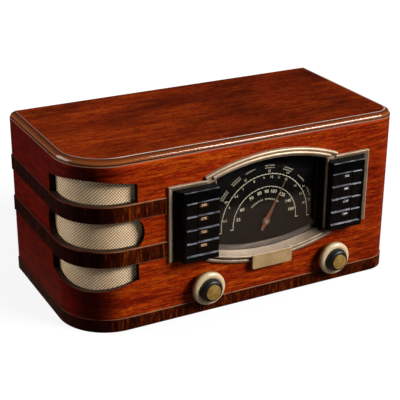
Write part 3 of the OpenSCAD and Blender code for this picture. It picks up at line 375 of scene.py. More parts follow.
# %% Bands
def band_veneer(name, low, high):
    material, tree, principled, grained = veneer(
        name, ("#120200", "#2e0a02", "#521804", "#9c4408"), 60, (1, 1, 0), 7.0)
    # Paler sanded wood, and partly a painted highlight on each arris.
    wear_and_painted_light = covered(tree, grained, colour("#8a6448"), patches(tree, (40,) * 3, Detail=2.0), 0.25, 0.5)
    height = coordinate(tree, "Z")
    edged = covered(tree, grained, wear_and_painted_light, height, high - 1.3 * MM, high - 0.7 * MM)
    if low > MM:  # the base band's lower edge stands on the table
        edged = covered(tree, edged, wear_and_painted_light, height, low + 1.3 * MM, low + 0.7 * MM)
    # Toner and painted shade darken the band on the bend and sides.
    tree.links.new(toned(tree, edged, "#7c5c5e", "#8a4c48"), principled.inputs["Base Color"])
    return material


for band in ("base_band", "lower_band", "upper_band"):
    lowest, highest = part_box(band)
    paint(band_veneer("striped_" + band, lowest.z, highest.z), band)
print("bands lacquered")

# %% [markdown]
# Raw plywood inside and behind is pale, dull and softly grained, without lacquer. Little of
# it shows, so one plain graph is enough.

# %% Raw wood
def raw_wood():
    material, tree, principled = finish_of("raw_plywood", Roughness=0.75)
    grain = patches(tree, (15, 120, 300), Detail=4.0)
    shown = add(tree, "ShaderNodeValToRGB", {"Fac": grain}, [(0.35, "#7d5a38"), (0.65, "#b08a5c")])
    tree.links.new(shown, principled.inputs["Base Color"])
    return material


paint(raw_wood(), "bottom_panel", "cleats", "speaker_board")
print("raw wood ready")

# %% [markdown]
# Plain finishes: a moulded, pressed or plated surface is never one flat colour, so each gets
# two tones in soft patches, and some get a bump of their grain's real size. The champagne
# trims, caps and pointer are dulled plating: half metal, so that they keep their own colour.

# %% Mottled finishes
def mottled(name, dark, light, size, bump=0.0, grain=0.4, **shader):
    """Two tones in patches of size mm; bump and grain are a grain's height and width in mm."""
    material, tree, principled = finish_of(name, **shader)
    patch = patches(tree, (1000 / size,) * 3, Detail=4.0, Roughness=0.6)
    shown = add(tree, "ShaderNodeValToRGB", {"Fac": patch}, [(0.35, dark), (0.65, light)])
    tree.links.new(shown, principled.inputs["Base Color"])
    if bump:
        grit = patches(tree, (1000 / grain,) * 3, Detail=2.0)
        normal = add(tree, "ShaderNodeBump", {"Height": grit, "Strength": 0.3, "Distance": bump * MM})
        tree.links.new(normal, principled.inputs["Normal"])
    return material


finishes = {
    # Moulded resin: deep black with soft, broad highlights
    mottled("satin_bakelite", "#0c0c0d", "#18181a", 6, 0.02, 0.6, Roughness=0.42): (
        "volume_knob", "tuning_knob"),
    # Lacquered champagne plating: a warm beige sheen; a darker copy on the sill is painted shade, as the sill
    # faces the light from above; golder on the tab
    mottled("champagne_metal", "#a58c70", "#bda488", 18, 0.01, 0.8, Metallic=0.5, Roughness=0.45): (
        "arch_trim", "bank_bezels"),
    # Painted shade: a darker copy of the champagne for the sill.
    mottled("shaded_champagne", "#7e6a56", "#93806a", 18, 0.01, 0.8, Metallic=0.5, Roughness=0.5): (
        "sill_trim",),
    mottled("bright_champagne", "#c09e6e", "#d6b484", 18, 0.02, 0.8, Metallic=0.5, Roughness=0.4): (
        "name_tab",),
    # Tarnished spun brass: dull gold without a clear reflection
    mottled("cap_brass", "#987638", "#bb9850", 7, 0.03, 0.5, Metallic=0.5, Roughness=0.42): (
        "volume_cap", "tuning_cap"),
    # Stamped copper gone brown: a dark red line on the dial
    mottled("copper_pointer", "#54301c", "#7c4e2e", 4, Metallic=0.5, Roughness=0.4): ("pointer",),
    # Pressed wood fibre: dull brown with a felt-like grain
    mottled("pressed_board", "#2e1d11", "#4a3220", 5, 0.1, 0.7, Roughness=0.85): ("back_cover",),
    # Moulded rubber: dull near black
    mottled("black_rubber", "#101010", "#1a1a1a", 6, 0.05, 0.5, Roughness=0.7): ("cord_grommet",),
    # Resin-bonded paper sheet: brown, with a faint sheen
    mottled("phenolic_sheet", "#2a1409", "#4a2814", 4, 0.03, 0.5, Roughness=0.5): (
        "loop_antenna", "tube_sockets", "key_switches"),
    # Stoved enamel on steel: black with a half gloss
    mottled("black_enamel", "#0c0c0d", "#17171a", 10, 0.02, 0.8, Roughness=0.45): (
        "speaker_frame", "speaker_magnet", "volume_control", "power_transformer"),
    # Felted paper: dull, dark and fibrous
    mottled("pressed_paper", "#1d1710", "#332a1e", 3, 0.1, 0.4, Roughness=0.9): ("speaker_cone",),
    # Stacked steel sheets under brown varnish
    mottled("varnished_core", "#2a1f16", "#47372a", 4, 0.05, 0.5, Roughness=0.55): ("output_transformer",),
    # Zinc-plated steel: light grey, soft reflections
    mottled("plated_steel", "#8f8f8a", "#b4b3ac", 15, 0.01, 0.6, Metallic=1.0, Roughness=0.38): (
        "chassis", "gang_frame", "gang_stators", "gang_rotor", "volume_shaft", "tuning_shaft"),
    # Drawn aluminium: whiter and a little brighter than the steel
    mottled("drawn_aluminium", "#b8b8b6", "#d0d0ce", 12, Metallic=1.0, Roughness=0.3): (
        "filter_cans", "if_cans"),
    # Turned brass, kept bright inside the set
    mottled("turned_brass", "#a8823c", "#c9a055", 5, Metallic=1.0, Roughness=0.3): (
        "shaft_bushings", "dial_drum"),
    # Braided linen: pale, dull and rough
    mottled("braided_cord", "#b5a888", "#d8cdb0", 1, 0.1, 0.3, Roughness=0.9): ("dial_cord",),
}
for material, names in finishes.items():
    paint(material, *names)
print(len(finishes), "mottled finishes")

# %% [markdown]
# The key banks are moulded black bakelite with a polished front. The slanted ledges and
# rounded edges are painted a bluish grey as a painted highlight, and dust dulls the faces that
# look upwards. Both follow the direction in which the surface faces, so nothing is painted by hand.

# %% Black bakelite
def rubbed_bakelite():
    material, tree, principled = finish_of("black_bakelite", Specular_IOR_Level=0.2)
    patch = patches(tree, (90, 90, 400), Detail=4.0)
    moulded = add(tree, "ShaderNodeValToRGB", {"Fac": patch}, [(0.35, "#010101"), (0.65, "#030304")])
    # Painted highlight: a bluish grey for the slanted ledges and rounded edges.
    colours_with_painted_light = add(tree, "ShaderNodeValToRGB", {"Fac": patch}, [
        (0.35, "#1a1a1e"), (0.5, "#3e3e46"), (0.65, "#666670")])
    upwards = facing(tree, "Z")
    ledges = covered(tree, moulded, colours_with_painted_light, upwards, 0.3, 0.5)
    shown = covered(tree, ledges, moulded, upwards, 0.8, 0.92)
    tree.links.new(shown, principled.inputs["Base Color"])
    dusty = add(tree, "ShaderNodeMapRange", {"Value": upwards, 1: 0.92, 2: 0.97, 3: 0.3, 4: 0.75})
    tree.links.new(dusty, principled.inputs["Roughness"])
    return material


paint(rubbed_bakelite(), "left_key_housing", "right_key_housing",
      *[f"{side}_key_{number}" for side in ("left", "right") for number in (1, 2, 3, 4)])
print("key banks moulded")

# %% [markdown]
# The dial plate is sheet steel in dull black enamel, so that the print stands out and nothing
# shines behind the glass. Its lower edge folds forward into a lip that is painted grey. The
# lip lies in front of the plate, so the colour follows the depth.

# %% Dial plate
def dial_enamel():
    material, tree, principled = finish_of("dial_enamel", Roughness=0.6, Specular_IOR_Level=0.05)
    patch = patches(tree, (60,) * 3, Detail=4.0)
    black = add(tree, "ShaderNodeValToRGB", {"Fac": patch}, [(0.35, "#010101"), (0.65, "#020202")])
    grey = add(tree, "ShaderNodeValToRGB", {"Fac": patch}, [(0.35, "#2a231e"), (0.65, "#38302a")])
    shown = covered(tree, black, grey, coordinate(tree, "Y"),
                    plate_y - 0.3 * MM, plate_y - 0.8 * MM)
    tree.links.new(shown, principled.inputs["Base Color"])
    return material


paint(dial_enamel(), "dial_plate")
print("dial plate enamelled")

# %% [markdown]
# Ivory plastic of the time yellows where hands and smoke reach it. The skirt's crest is pale,
# and it darkens to a deep brown towards the cabinet, partly that yellowing and partly painted
# shade on the skirt's side, so the colour follows the distance from the front face, and patches
# make it uneven. A thin clear coat gives the soft gloss of polished plastic.

# %% Ivory skirts
def aged_ivory():
    material, tree, principled = finish_of("aged_ivory", Roughness=0.3, Coat_Weight=0.3, Coat_Roughness=0.15)
    height = add(tree, "ShaderNodeMapRange", {
        "Value": coordinate(tree, "Y"), 1: front_y - 6 * MM, 2: front_y - 17 * MM})
    patch = patches(tree, (120,) * 3, Detail=3.0)
    wear_and_painted_light = add(tree, "ShaderNodeMath", {0: patch, 1: 0.35, 2: height}, operation="MULTIPLY_ADD")
    # Deep brown towards the cabinet: yellowing, and partly painted shade on the skirt's side.
    shown = add(tree, "ShaderNodeValToRGB", {"Fac": wear_and_painted_light}, [
        (0.15, "#2a1604"), (0.5, "#5e3a14"), (0.78, "#a8845a"), (1.0, "#ceb68e")])
    tree.links.new(shown, principled.inputs["Base Color"])
    return material


paint(aged_ivory(), "volume_skirt", "tuning_skirt")
print("ivory ready")

# %% [markdown]
# Glass: a clear pane over the dial, tube bulbs and lamp bulbs. Light reaches what lies behind
# a pane only if its shadow is let through, which a mix with a transparent shader does for
# shadow rays.

# %% Glass
def clear_glass(name, tint):
    material, tree, principled = finish_of(name, Base_Color=colour(tint), Roughness=0.0,
                                           Transmission_Weight=1.0, IOR=1.5)
    clear = add(tree, "ShaderNodeBsdfTransparent", {"Color": colour(tint)})
    shadow = add(tree, "ShaderNodeLightPath", out="Is Shadow Ray")
    mixed = add(tree, "ShaderNodeMixShader", {0: shadow, 1: principled.outputs[0], 2: clear})
    tree.links.new(mixed, tree.nodes["Material Output"].inputs["Surface"])
    return material


paint(clear_glass("dial_pane", "#ffffff"), "dial_glass")
paint(clear_glass("tube_bulb", "#e8f0f0"), "tubes")
paint(clear_glass("lamp_bulb", "#fff0d0"), "pilot_lamps")
print("glass ready")

# %% [markdown]
# New pieces are built as meshes at their real place, so each object stays at the origin. A
# small function turns a bmesh into such an object, gives it a finish and hangs it on the
# body that it moves with.

# %% Making a piece
def piece_from(bm, name, body, material, smooth=False):
    mesh = bpy.data.meshes.new(name)
    bm.to_mesh(mesh)
    bm.free()
    mesh.materials.append(material)
    for face in mesh.polygons:
        face.use_smooth = smooth
    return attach(put(name, mesh), body)


def evaluated_mesh(source):
    """The finished mesh of an object with modifiers or of a text, as plain data."""
    graph = bpy.context.evaluated_depsgraph_get()
    return bpy.data.meshes.new_from_object(source.evaluated_get(graph))


print("piece maker ready")

# %% [markdown]
# The grille cloth is stretched over the inside of the windows and round the bend. A sheet that
# is held flat needs no simulation: it is a grid along a straight run, a quarter turn and a
# straight run. Its UV map holds the real distances in metres, so that the yarns keep their
# spacing round the bend. The level yarns drop a little, because the cloth was glued askew.

# %% Grille cloth: the sheet
cloth_low, cloth_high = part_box("grille_cloth")
cloth_r = bend_r - (cloth_low.x - left_x + 0.5 * MM)
cloth_run = cloth_high.x - left_x - bend_r
cloth_length = 2 * cloth_run + cloth_r * math.pi / 2
cloth_height = cloth_high.z - cloth_low.z


def cloth_point(distance):
    """The point in plan at a distance along the cloth from its rear end."""
    past = distance - cloth_run
    turned = min(max(past / cloth_r, 0), math.pi / 2)
    return (left_x + bend_r - cloth_r * math.cos(turned) + max(past - cloth_r * math.pi / 2, 0),
            front_y + bend_r - cloth_r * math.sin(turned) + max(-past, 0))


def askew(along):
    """How far the level yarns have dropped at a distance along the cloth, in metres."""
    return 0.05 * along + 0.45 * along ** 2


def cloth_grid(columns, rows):
    bm = bmesh.new()
    uv = bm.loops.layers.uv.new("UVMap")
    grid = []
    for i in range(columns + 1):
        x, y = cloth_point(cloth_length * i / columns)
        grid.append([bm.verts.new((x, y, cloth_low.z + cloth_height * j / rows)) for j in range(rows + 1)])
    for i in range(columns):
        for j in range(rows):
            corners = [(i, j), (i + 1, j), (i + 1, j + 1), (i, j + 1)]
            face = bm.faces.new([grid[a][b] for a, b in corners])
            for loop, (a, b) in zip(face.loops, corners):
                along = cloth_length * a / columns
                loop[uv].uv = (along, cloth_height * b / rows + askew(along))
    return bm


print("cloth", round(cloth_length / MM), "by", round(cloth_height / MM), "mm")

# %% [markdown]
# The cloth itself is a coarse plain weave of slubby yarn in two tones. Where yarns of a plain
# weave cross, the product of two sine waves is positive over one set of yarns and negative
# over the other, which gives the chequer of the weave. Its size without the sign is a yarn's
# height, for the bump and for the dark gaps. Soft patches shift the yarns to make them slubby.

# %% Grille cloth: the weave
yarn_pitch = (2.15 * MM, 2.22 * MM)


def woven_cloth():
    material, tree, principled = finish_of("basket_weave_cloth", Roughness=0.9, Sheen_Weight=0.1,
                                           Specular_IOR_Level=0.2)
    place = add(tree, "ShaderNodeUVMap")
    spread = add(tree, "ShaderNodeMapping", {"Vector": place, "Scale": (60, 60, 60)})
    slub = add(tree, "ShaderNodeTexNoise", {"Vector": spread, "Scale": 1.0, "Detail": 2.0}, out="Color")
    shifted = add(tree, "ShaderNodeVectorMath", {0: slub, 1: (0.9 * MM,) * 3, 2: place},
                  operation="MULTIPLY_ADD")
    parts = add(tree, "ShaderNodeSeparateXYZ", {0: shifted}).node.outputs
    waves = []
    for axis, pitch in zip("XY", yarn_pitch):
        turns = add(tree, "ShaderNodeMath", {0: parts[axis], 1: math.pi / pitch}, operation="MULTIPLY")
        waves.append(add(tree, "ShaderNodeMath", {0: turns}, operation="SINE"))
    over = add(tree, "ShaderNodeMath", {0: waves[0], 1: waves[1]}, operation="MULTIPLY")
    size = add(tree, "ShaderNodeMath", {0: over}, operation="ABSOLUTE")
    crown = add(tree, "ShaderNodeMath", {0: size, 1: 0.5}, operation="POWER")
    yarn = covered(tree, colour("#b0855a"), colour("#ffeac4"), over, -0.15, 0.15)
    soil = patches(tree, (25,) * 3, place=place, Detail=3.0)
    soiled = stained(tree, yarn, soil, [(0.35, "#dccfc2"), (0.6, "#ffffff")], 0.5)
    shown = covered(tree, colour("#3a2a1c"), soiled, crown, 0.08, 0.36)
    tree.links.new(shown, principled.inputs["Base Color"])
    bump = add(tree, "ShaderNodeBump", {"Height": crown, "Strength": 0.8, "Distance": 0.35 * MM})
    tree.links.new(bump, principled.inputs["Normal"])
    return material


cloth = piece_from(cloth_grid(90, 60), "woven_grille_cloth", "cabinet", woven_cloth(), smooth=True)
thickness = cloth.modifiers.new("thickness", "SOLIDIFY")
thickness.thickness = 0.8 * MM
thickness.offset = 0
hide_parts("grille_cloth")
print("yarns", [round(pitch / MM, 2) for pitch in yarn_pitch], "mm apart")

# %% [markdown]
# Screw heads and the dial's ticks repeat. Geometry Nodes make both, because one small tree
# then holds the shape and other inputs give another row. The helpers start a tree with named
# sizes, end it, and run it on a mesh to keep the plain result.

# %% Helpers for trees
def tree_with_inputs(name, inputs):
    """A geometry tree with named float inputs; returns it, its inputs' sockets and its output node."""
    tree = bpy.data.node_groups.new(name, "GeometryNodeTree")
    tree.interface.new_socket("Geometry", in_out="INPUT", socket_type="NodeSocketGeometry")
    tree.interface.new_socket("Geometry", in_out="OUTPUT", socket_type="NodeSocketGeometry")
    for title in inputs:
        tree.interface.new_socket(title, in_out="INPUT", socket_type="NodeSocketFloat")
    return tree, tree.nodes.new("NodeGroupInput").outputs, tree.nodes.new("NodeGroupOutput")


def end_tree(tree, instances, material, out):
    """Makes a tree's instances real, gives them their material and passes them out."""
    real = add(tree, "GeometryNodeRealizeInstances", {0: instances})
    coated = add(tree, "GeometryNodeSetMaterial", {"Geometry": real, "Material": material})
    tree.links.new(coated, out.inputs[0])
    return tree


def run_tree(name, tree, start_mesh, values, body):
    """Runs a geometry tree on a mesh and keeps the result as a plain piece on a body."""
    carrier = put(name, start_mesh)
    modifier = carrier.modifiers.new(tree.name, "NODES")
    modifier.node_group = tree
    for item in tree.interface.items_tree:
        if item.in_out == "INPUT" and item.name in values:
            modifier[item.identifier] = values[item.name]
    result = evaluated_mesh(carrier)
    carrier.modifiers.remove(modifier)
    carrier.data = result
    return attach(carrier, body)


print("tree helpers ready")

# %% [markdown]
# Eight slotted screws hold the back cover. A head is a flat cone from which a cube cuts the
# slot. A copy is set on every point and turned by a random amount, as a hand leaves them. The
# points are the middles of the construction's plain heads.

# %% Back screws
def screw_tree(material):
    tree, given, out = tree_with_inputs("slotted_screws", (
        "Head radius", "Head height", "Slot width", "Slot depth"))
    top = add(tree, "ShaderNodeMath", {0: given["Head radius"], 1: 0.72}, operation="MULTIPLY")
    head = add(tree, "GeometryNodeMeshCone", {
        "Vertices": 24, "Fill Segments": 1, "Side Segments": 1, "Radius Top": top,
        "Radius Bottom": given["Head radius"], "Depth": given["Head height"]})
    wide = add(tree, "ShaderNodeMath", {0: given["Head radius"], 1: 3.0}, operation="MULTIPLY")
    high = add(tree, "ShaderNodeMath", {0: given["Slot depth"], 1: 2.0}, operation="MULTIPLY")
    size = add(tree, "ShaderNodeCombineXYZ", {"X": wide, "Y": given["Slot width"], "Z": high})
    cutter = add(tree, "GeometryNodeMeshCube", {"Size": size})
    lift = add(tree, "ShaderNodeCombineXYZ", {"Z": given["Head height"]})
    raised = add(tree, "GeometryNodeTransform", {"Geometry": cutter, "Translation": lift})
    slotted = add(tree, "GeometryNodeMeshBoolean", {0: head, 1: raised}, operation="DIFFERENCE")
    turn = add(tree, "FunctionNodeRandomValue", {0: (0, 0, 0), 1: (0, 0, 3.1), "Seed": 5},
               data_type="FLOAT_VECTOR")
    stand = add(tree, "FunctionNodeRotateRotation", {0: (-math.pi / 2, 0, 0), 1: turn},
                rotation_space="LOCAL")
    screws = add(tree, "GeometryNodeInstanceOnPoints", {
        "Points": given["Geometry"], "Instance": slotted, "Rotation": stand})
    return end_tree(tree, screws, material, out)


def middles_of(node):
    """The middle of each separate solid in a construction piece, in plan with its lowest Y."""
    copy = bmesh.new()
    copy.from_mesh(nodes[node].data)
    bmesh.ops.remove_doubles(copy, verts=copy.verts, dist=1e-6)
    left = set(copy.verts)
    found = []
    while left:
        island, edge = set(), [left.pop()]
        while edge:
            vertex = edge.pop()
            island.add(vertex)
            near = {e.other_vert(vertex) for e in vertex.link_edges} & left
            left -= near
            edge.extend(near)
        low, high = [[end(v.co[axis] for v in island) for axis in range(3)] for end in (min, max)]
        found.append(((low[0] + high[0]) / 2, low[1], (low[2] + high[2]) / 2))
    copy.free()
    return sorted(found)


screw_low, screw_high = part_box("back_screws")
screw_points = bpy.data.meshes.new("slotted_back_screws")
screw_points.from_pydata(middles_of("back_screws"), [], [])
# Zinc-plated steel: a little darker than new, with soft reflections
zinc = mottled("zinc_plated_screw", "#7c7c78", "#a2a19a", 3, Metallic=1.0, Roughness=0.42)
screws = run_tree("slotted_back_screws", screw_tree(zinc), screw_points, {
    "Head radius": 3.9 * MM, "Head height": screw_high.y - screw_low.y - 0.05 * MM,
    "Slot width": 1.0 * MM, "Slot depth": 0.9 * MM}, "cabinet")
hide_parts("back_screws")
print(len(screw_points.vertices), "slotted screws")

# %% [markdown]
# The dial is printed in cream on the black plate: two scales on half circles round the
# pointer's axis, ticks and plain numbers. As a texture, print blurs close up, so each line is
# a film a twentieth of a millimetre thick, a hair in front of the plate.

# %% Printed scales
ink_t = 0.05 * MM
ink_gap = 0.01 * MM
line_w = 0.5
scale_radii = (52.0, 71.1)
scale_half = 95
foot_length = 4.5 * MM
foot_half = 0.4 * MM
ink = mottled("cream_ink", "#b5ad90", "#d6ceb0", 3, Roughness=0.6)


def on_dial(angle, radius):
    """A point on the dial: angle clockwise from upright in degrees, radius in mm."""
    turn = math.radians(angle)
    return Vector((hub.x + radius * MM * math.sin(turn), plate_y, hub.z + radius * MM * math.cos(turn)))


def prism(bm, rings):
    """A closed prism between two outlines, the rear one first."""
    back, front = [[bm.verts.new(point) for point in ring] for ring in rings]
    bm.faces.new(front)
    bm.faces.new(list(reversed(back)))
    for i in range(len(back)):
        j = (i + 1) % len(back)
        bm.faces.new([back[i], back[j], front[j], front[i]])


def film(bm, outline):
    """A film of ink on the plate over an outline of points, clockwise as seen from the front."""
    prism(bm, [[point - Vector((0, depth, 0)) for point in outline] for depth in (ink_gap, ink_gap + ink_t)])


lines = bmesh.new()
arc = [scale_half * (i / 38 - 1) for i in range(77)]
for radius in scale_radii:
    film(lines, [on_dial(angle, radius + line_w / 2) for angle in arc]
         + [on_dial(angle, radius - line_w / 2) for angle in reversed(arc)])
    for side in (-1, 1):
        foot = on_dial(side * scale_half, radius)
        start, end = sorted((foot.x, foot.x + side * foot_length))
        film(lines, [Vector((x, plate_y, foot.z + z)) for x, z in (
            (start, foot_half), (end, foot_half), (end, -foot_half), (start, -foot_half))])
bmesh.ops.recalc_face_normals(lines, faces=lines.faces)
piece_from(lines, "dial_lines", "cabinet", ink)
print("scales at", scale_radii, "mm")

# %% [markdown]
# The ticks repeat along an arc: a line of points becomes an arc when each point is moved to
# its angle, and a small block is set on every point and turned to follow the arc. Rows of
# plain ticks also stand round the outer scale, where a dial has a legend for each band.

# %% Scale ticks
def tick_tree(material):
    tree, given, out = tree_with_inputs("scale_ticks", (
        "Radius", "First angle", "Last angle", "Count", "Tick length", "Tick width", "Thickness"))
    line = add(tree, "GeometryNodeMeshLine", {"Count": given["Count"]})
    index = add(tree, "GeometryNodeInputIndex")
    last = add(tree, "ShaderNodeMath", {0: given["Count"], 1: 1.0}, operation="SUBTRACT")
    share = add(tree, "ShaderNodeMath", {0: index, 1: last}, operation="DIVIDE")
    angle = add(tree, "ShaderNodeMix", {0: share, 2: given["First angle"], 3: given["Last angle"]})
    parts = []
    for wave in ("SINE", "COSINE"):
        turn = add(tree, "ShaderNodeMath", {0: angle}, operation=wave)
        parts.append(add(tree, "ShaderNodeMath", {0: turn, 1: given["Radius"]}, operation="MULTIPLY"))
    place = add(tree, "ShaderNodeCombineXYZ", {"X": parts[0], "Z": parts[1]})
    arc = add(tree, "GeometryNodeSetPosition", {"Geometry": line, "Position": place})
    size = add(tree, "ShaderNodeCombineXYZ", {
        "X": given["Tick width"], "Y": given["Thickness"], "Z": given["Tick length"]})
    block = add(tree, "GeometryNodeMeshCube", {"Size": size})
    lean = add(tree, "ShaderNodeCombineXYZ", {"Y": angle})
    ticks = add(tree, "GeometryNodeInstanceOnPoints", {"Points": arc, "Instance": block, "Rotation": lean})
    return end_tree(tree, ticks, material, out)


# Name, radius in mm, first and last angle in degrees, count, length and width in mm
tick_rows = [
    ("inner_ticks", 51.4, -78, 79, 25, 1.5, 0.4),
    ("outer_ticks", 71.8, -80, 78, 33, 1.5, 0.4),
    ("vernier_left", 33.0, -42, -9, 10, 2.2, 0.65),
    ("vernier_right", 33.0, 0, 40, 11, 2.2, 0.65),
]
# Middle angle, radius and length of each legend's row
legends = (
    (-53, 82.0, 1.6), (-53, 85.5, 1.6), (-35, 82.5, 1.6), (-35, 86.0, 1.6), (-18, 84.0, 1.6),
    (4, 80.5, 1.4), (4, 84.0, 1.6), (26, 79.5, 1.6), (27, 83.0, 1.6), (47, 80.5, 1.6), (66, 79.0, 1.6))
for number, (middle, radius, length) in enumerate(legends, start=1):
    tick_rows.append((f"band_{number}", radius, middle - 5, middle + 5, 9, length, 0.5))
ticks = tick_tree(ink)
for name, radius, first, last, count, length, width in tick_rows:
    row = run_tree(name, ticks, bpy.data.meshes.new(name), {
        "Radius": radius * MM, "First angle": math.radians(first), "Last angle": math.radians(last),
        "Count": float(count), "Tick length": length * MM, "Tick width": width * MM,
        "Thickness": ink_t}, "cabinet")
    row.data.transform(Matrix.Translation((hub.x, plate_y - ink_gap - ink_t / 2, hub.z)))
print(sum(row[4] for row in tick_rows), "ticks in", len(tick_rows), "rows")

# %% [markdown]
# Numbers are text turned into a mesh, stood upright and laid on the plate. Near the top they
# lean with the scale, and at its ends they stand straight. The strokes are thinned a little,
# because the built-in font is bolder than a dial's.

# %% Plain numbers
letter_share = 0.7  # a digit's height as a share of the font's size


def add_number(bm, words, height, point, lean=0.0, thin=0.0):
    """Adds a number of some mm high to bm at a point, leaning clockwise by some degrees."""
    curve = bpy.data.curves.new("number", "FONT")
    curve.body = words
    curve.align_x = "CENTER"
    curve.align_y = "CENTER"
    curve.size = height * MM / letter_share
    curve.extrude = ink_t / 2
    curve.offset = -thin * MM
    curve.resolution_u = 3
    carrier = put("number", curve)
    mesh = evaluated_mesh(carrier)
    bpy.data.objects.remove(carrier)
    upright = Matrix.Rotation(math.pi / 2, 4, "X")
    mesh.transform(Matrix.Translation(point) @ upright @ Matrix.Rotation(-math.radians(lean), 4, "Z"))
    bm.from_mesh(mesh)


# Ring radius and digit height in mm, then each number with its angle in degrees
rings = {
    (44.6, 5.0): {55: -78, 60: -58, 70: -31, 80: -13, 90: 2, 100: 17, 120: 38, 140: 59, 160: 78},
    (66.2, 3.5): {"5.5": -80, 6: -62, "6.5": -46, 7: -34, 8: -17, 9: -3, 10: 8, 11: 19, 12: 30,
                  14: 48, 16: 63, 18: 77},
    (75.6, 3.4): {49: -58, 31: -26, 25: 4, 19: 28, 16: 57, 13: 76},
}
printed = bmesh.new()
ink_middle = Vector((0, ink_gap + ink_t / 2, 0))
for (radius, height), ring in rings.items():
    for value, angle in ring.items():
        lean = 0.8 * angle if abs(angle) < 45 else 0
        add_number(printed, str(value), height, on_dial(angle, radius) - ink_middle, lean, thin=0.07)
bmesh.ops.remove_doubles(printed, verts=printed.verts, dist=1e-7)
piece_from(printed, "dial_numbers", "cabinet", ink)
print(sum(len(ring) for ring in rings.values()), "numbers on the dial")

# %% [markdown]
# A pointer is balanced by a short tail on the other side of its hub: a flat drop shape in the
# pointer's own line and finish, which turns with it. That line is read from its mesh.

# %% Pointer tail
tip = max((v.co for v in nodes["pointer"].data.vertices),
          key=lambda co: (co.x - hub.x) ** 2 + (co.z - hub.z) ** 2)
along = Vector((tip.x - hub.x, 0, tip.z - hub.z)).normalized()
across = Vector((along.z, 0, -along.x))
tail_t = 0.5 * MM
tail_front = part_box("pointer")[0].y + 0.1 * MM
# Reach from the hub against the pointer, and half the width there, in mm
half_outline = [(6.0, 3.1), (9.0, 2.5), (12.5, 2.2), (14.3, 1.6), (15.0, 0.6)]
outline = half_outline + [(reach, -half) for reach, half in reversed(half_outline)]
tail = bmesh.new()
prism(tail, [[Vector((hub.x, y, hub.z)) - along * reach * MM + across * half * MM
              for reach, half in outline] for y in (tail_front, tail_front + tail_t)])
bmesh.ops.recalc_face_normals(tail, faces=tail.faces)
pointer_tail = piece_from(tail, "pointer_tail", "dial_movement", bpy.data.materials["copper_pointer"])
print("pointer leans", round(math.degrees(math.atan2(along.x, along.z))), "degrees")

# %% [markdown]
# Each key has a small window with a card that names a station. Here the cards hold plain
# numbers: amber in the left bank, white on black in the right one. A card is a thin block
# with softened edges, and rides on its key's body, because it travels with the key.

# %% Station cards
card_size = (13.6 * MM, 0.5 * MM, 5 * MM)
card_in = 1.2 * MM
card_down = 6.9 * MM
bar_share = 0.66  # the wide inner bar's share of a key's width
card_back = 9 * MM  # from the bar's outer end back to the card's middle
digits_out = 0.27 * MM  # the digits' middle lies this far in front of the card's
card_finishes = {
    "left": (mottled("amber_card", "#2a1a0e", "#43290f", 4, Roughness=0.35),
             mottled("amber_ink", "#e8b070", "#ffe0b0", 3, Roughness=0.5)),
    "right": (mottled("black_card", "#0a0a0b", "#17171a", 4, Roughness=0.3),
              mottled("white_ink", "#d8d8d8", "#ffffff", 3, Roughness=0.5)),
}
stations = {"left": (590, 670, 720, 850), "right": (940, 980, 1130, 1240)}
digit_height = {"left": 3.9, "right": 3.2}


def station_card(side, number, value):
    key = f"{side}_key_{number}"
    name = f"{side}_card_{number}"
    low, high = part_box(key)
    bar = bar_share * (high.x - low.x) - card_back
    middle = high.x - bar if side == "left" else low.x + bar
    centre = Vector((middle, low.y + card_in, high.z - card_down))
    card = bmesh.new()
    bmesh.ops.create_cube(card, size=1, matrix=Matrix.Translation(centre) @ Matrix.Diagonal((*card_size, 1)))
    bmesh.ops.bevel(card, geom=list(card.edges), offset=0.12 * MM, segments=2, affect="EDGES")
    piece_from(card, name, key, card_finishes[side][0])
    words = bmesh.new()
    add_number(words, str(value), digit_height[side], centre - Vector((0, digits_out, 0)))
    bmesh.ops.remove_doubles(words, verts=words.verts, dist=1e-7)
    piece_from(words, name + "_number", key, card_finishes[side][1])


for side, row in stations.items():
    for number, value in enumerate(row, start=1):
        station_card(side, number, value)
print("eight station cards")

# %% [markdown]
# The floor keeps the set's soft shadow, and glows to the camera, so that it looks white away
# from the set. A polished cabinet would mirror that glow as a milky haze, so mirrors and
# glass see a dim brown floor, dark in front and to the left, as in a room with dark walls.

# %% Floor
def rays_of(tree):
    """Two masks: what the camera sees directly, and what mirrors and glass show."""
    rays = add(tree, "ShaderNodeLightPath").node.outputs
    shown = add(tree, "ShaderNodeMath", {0: rays["Is Glossy Ray"], 1: rays["Is Transmission Ray"]},
                operation="MAXIMUM")
    return rays["Is Camera Ray"], shown


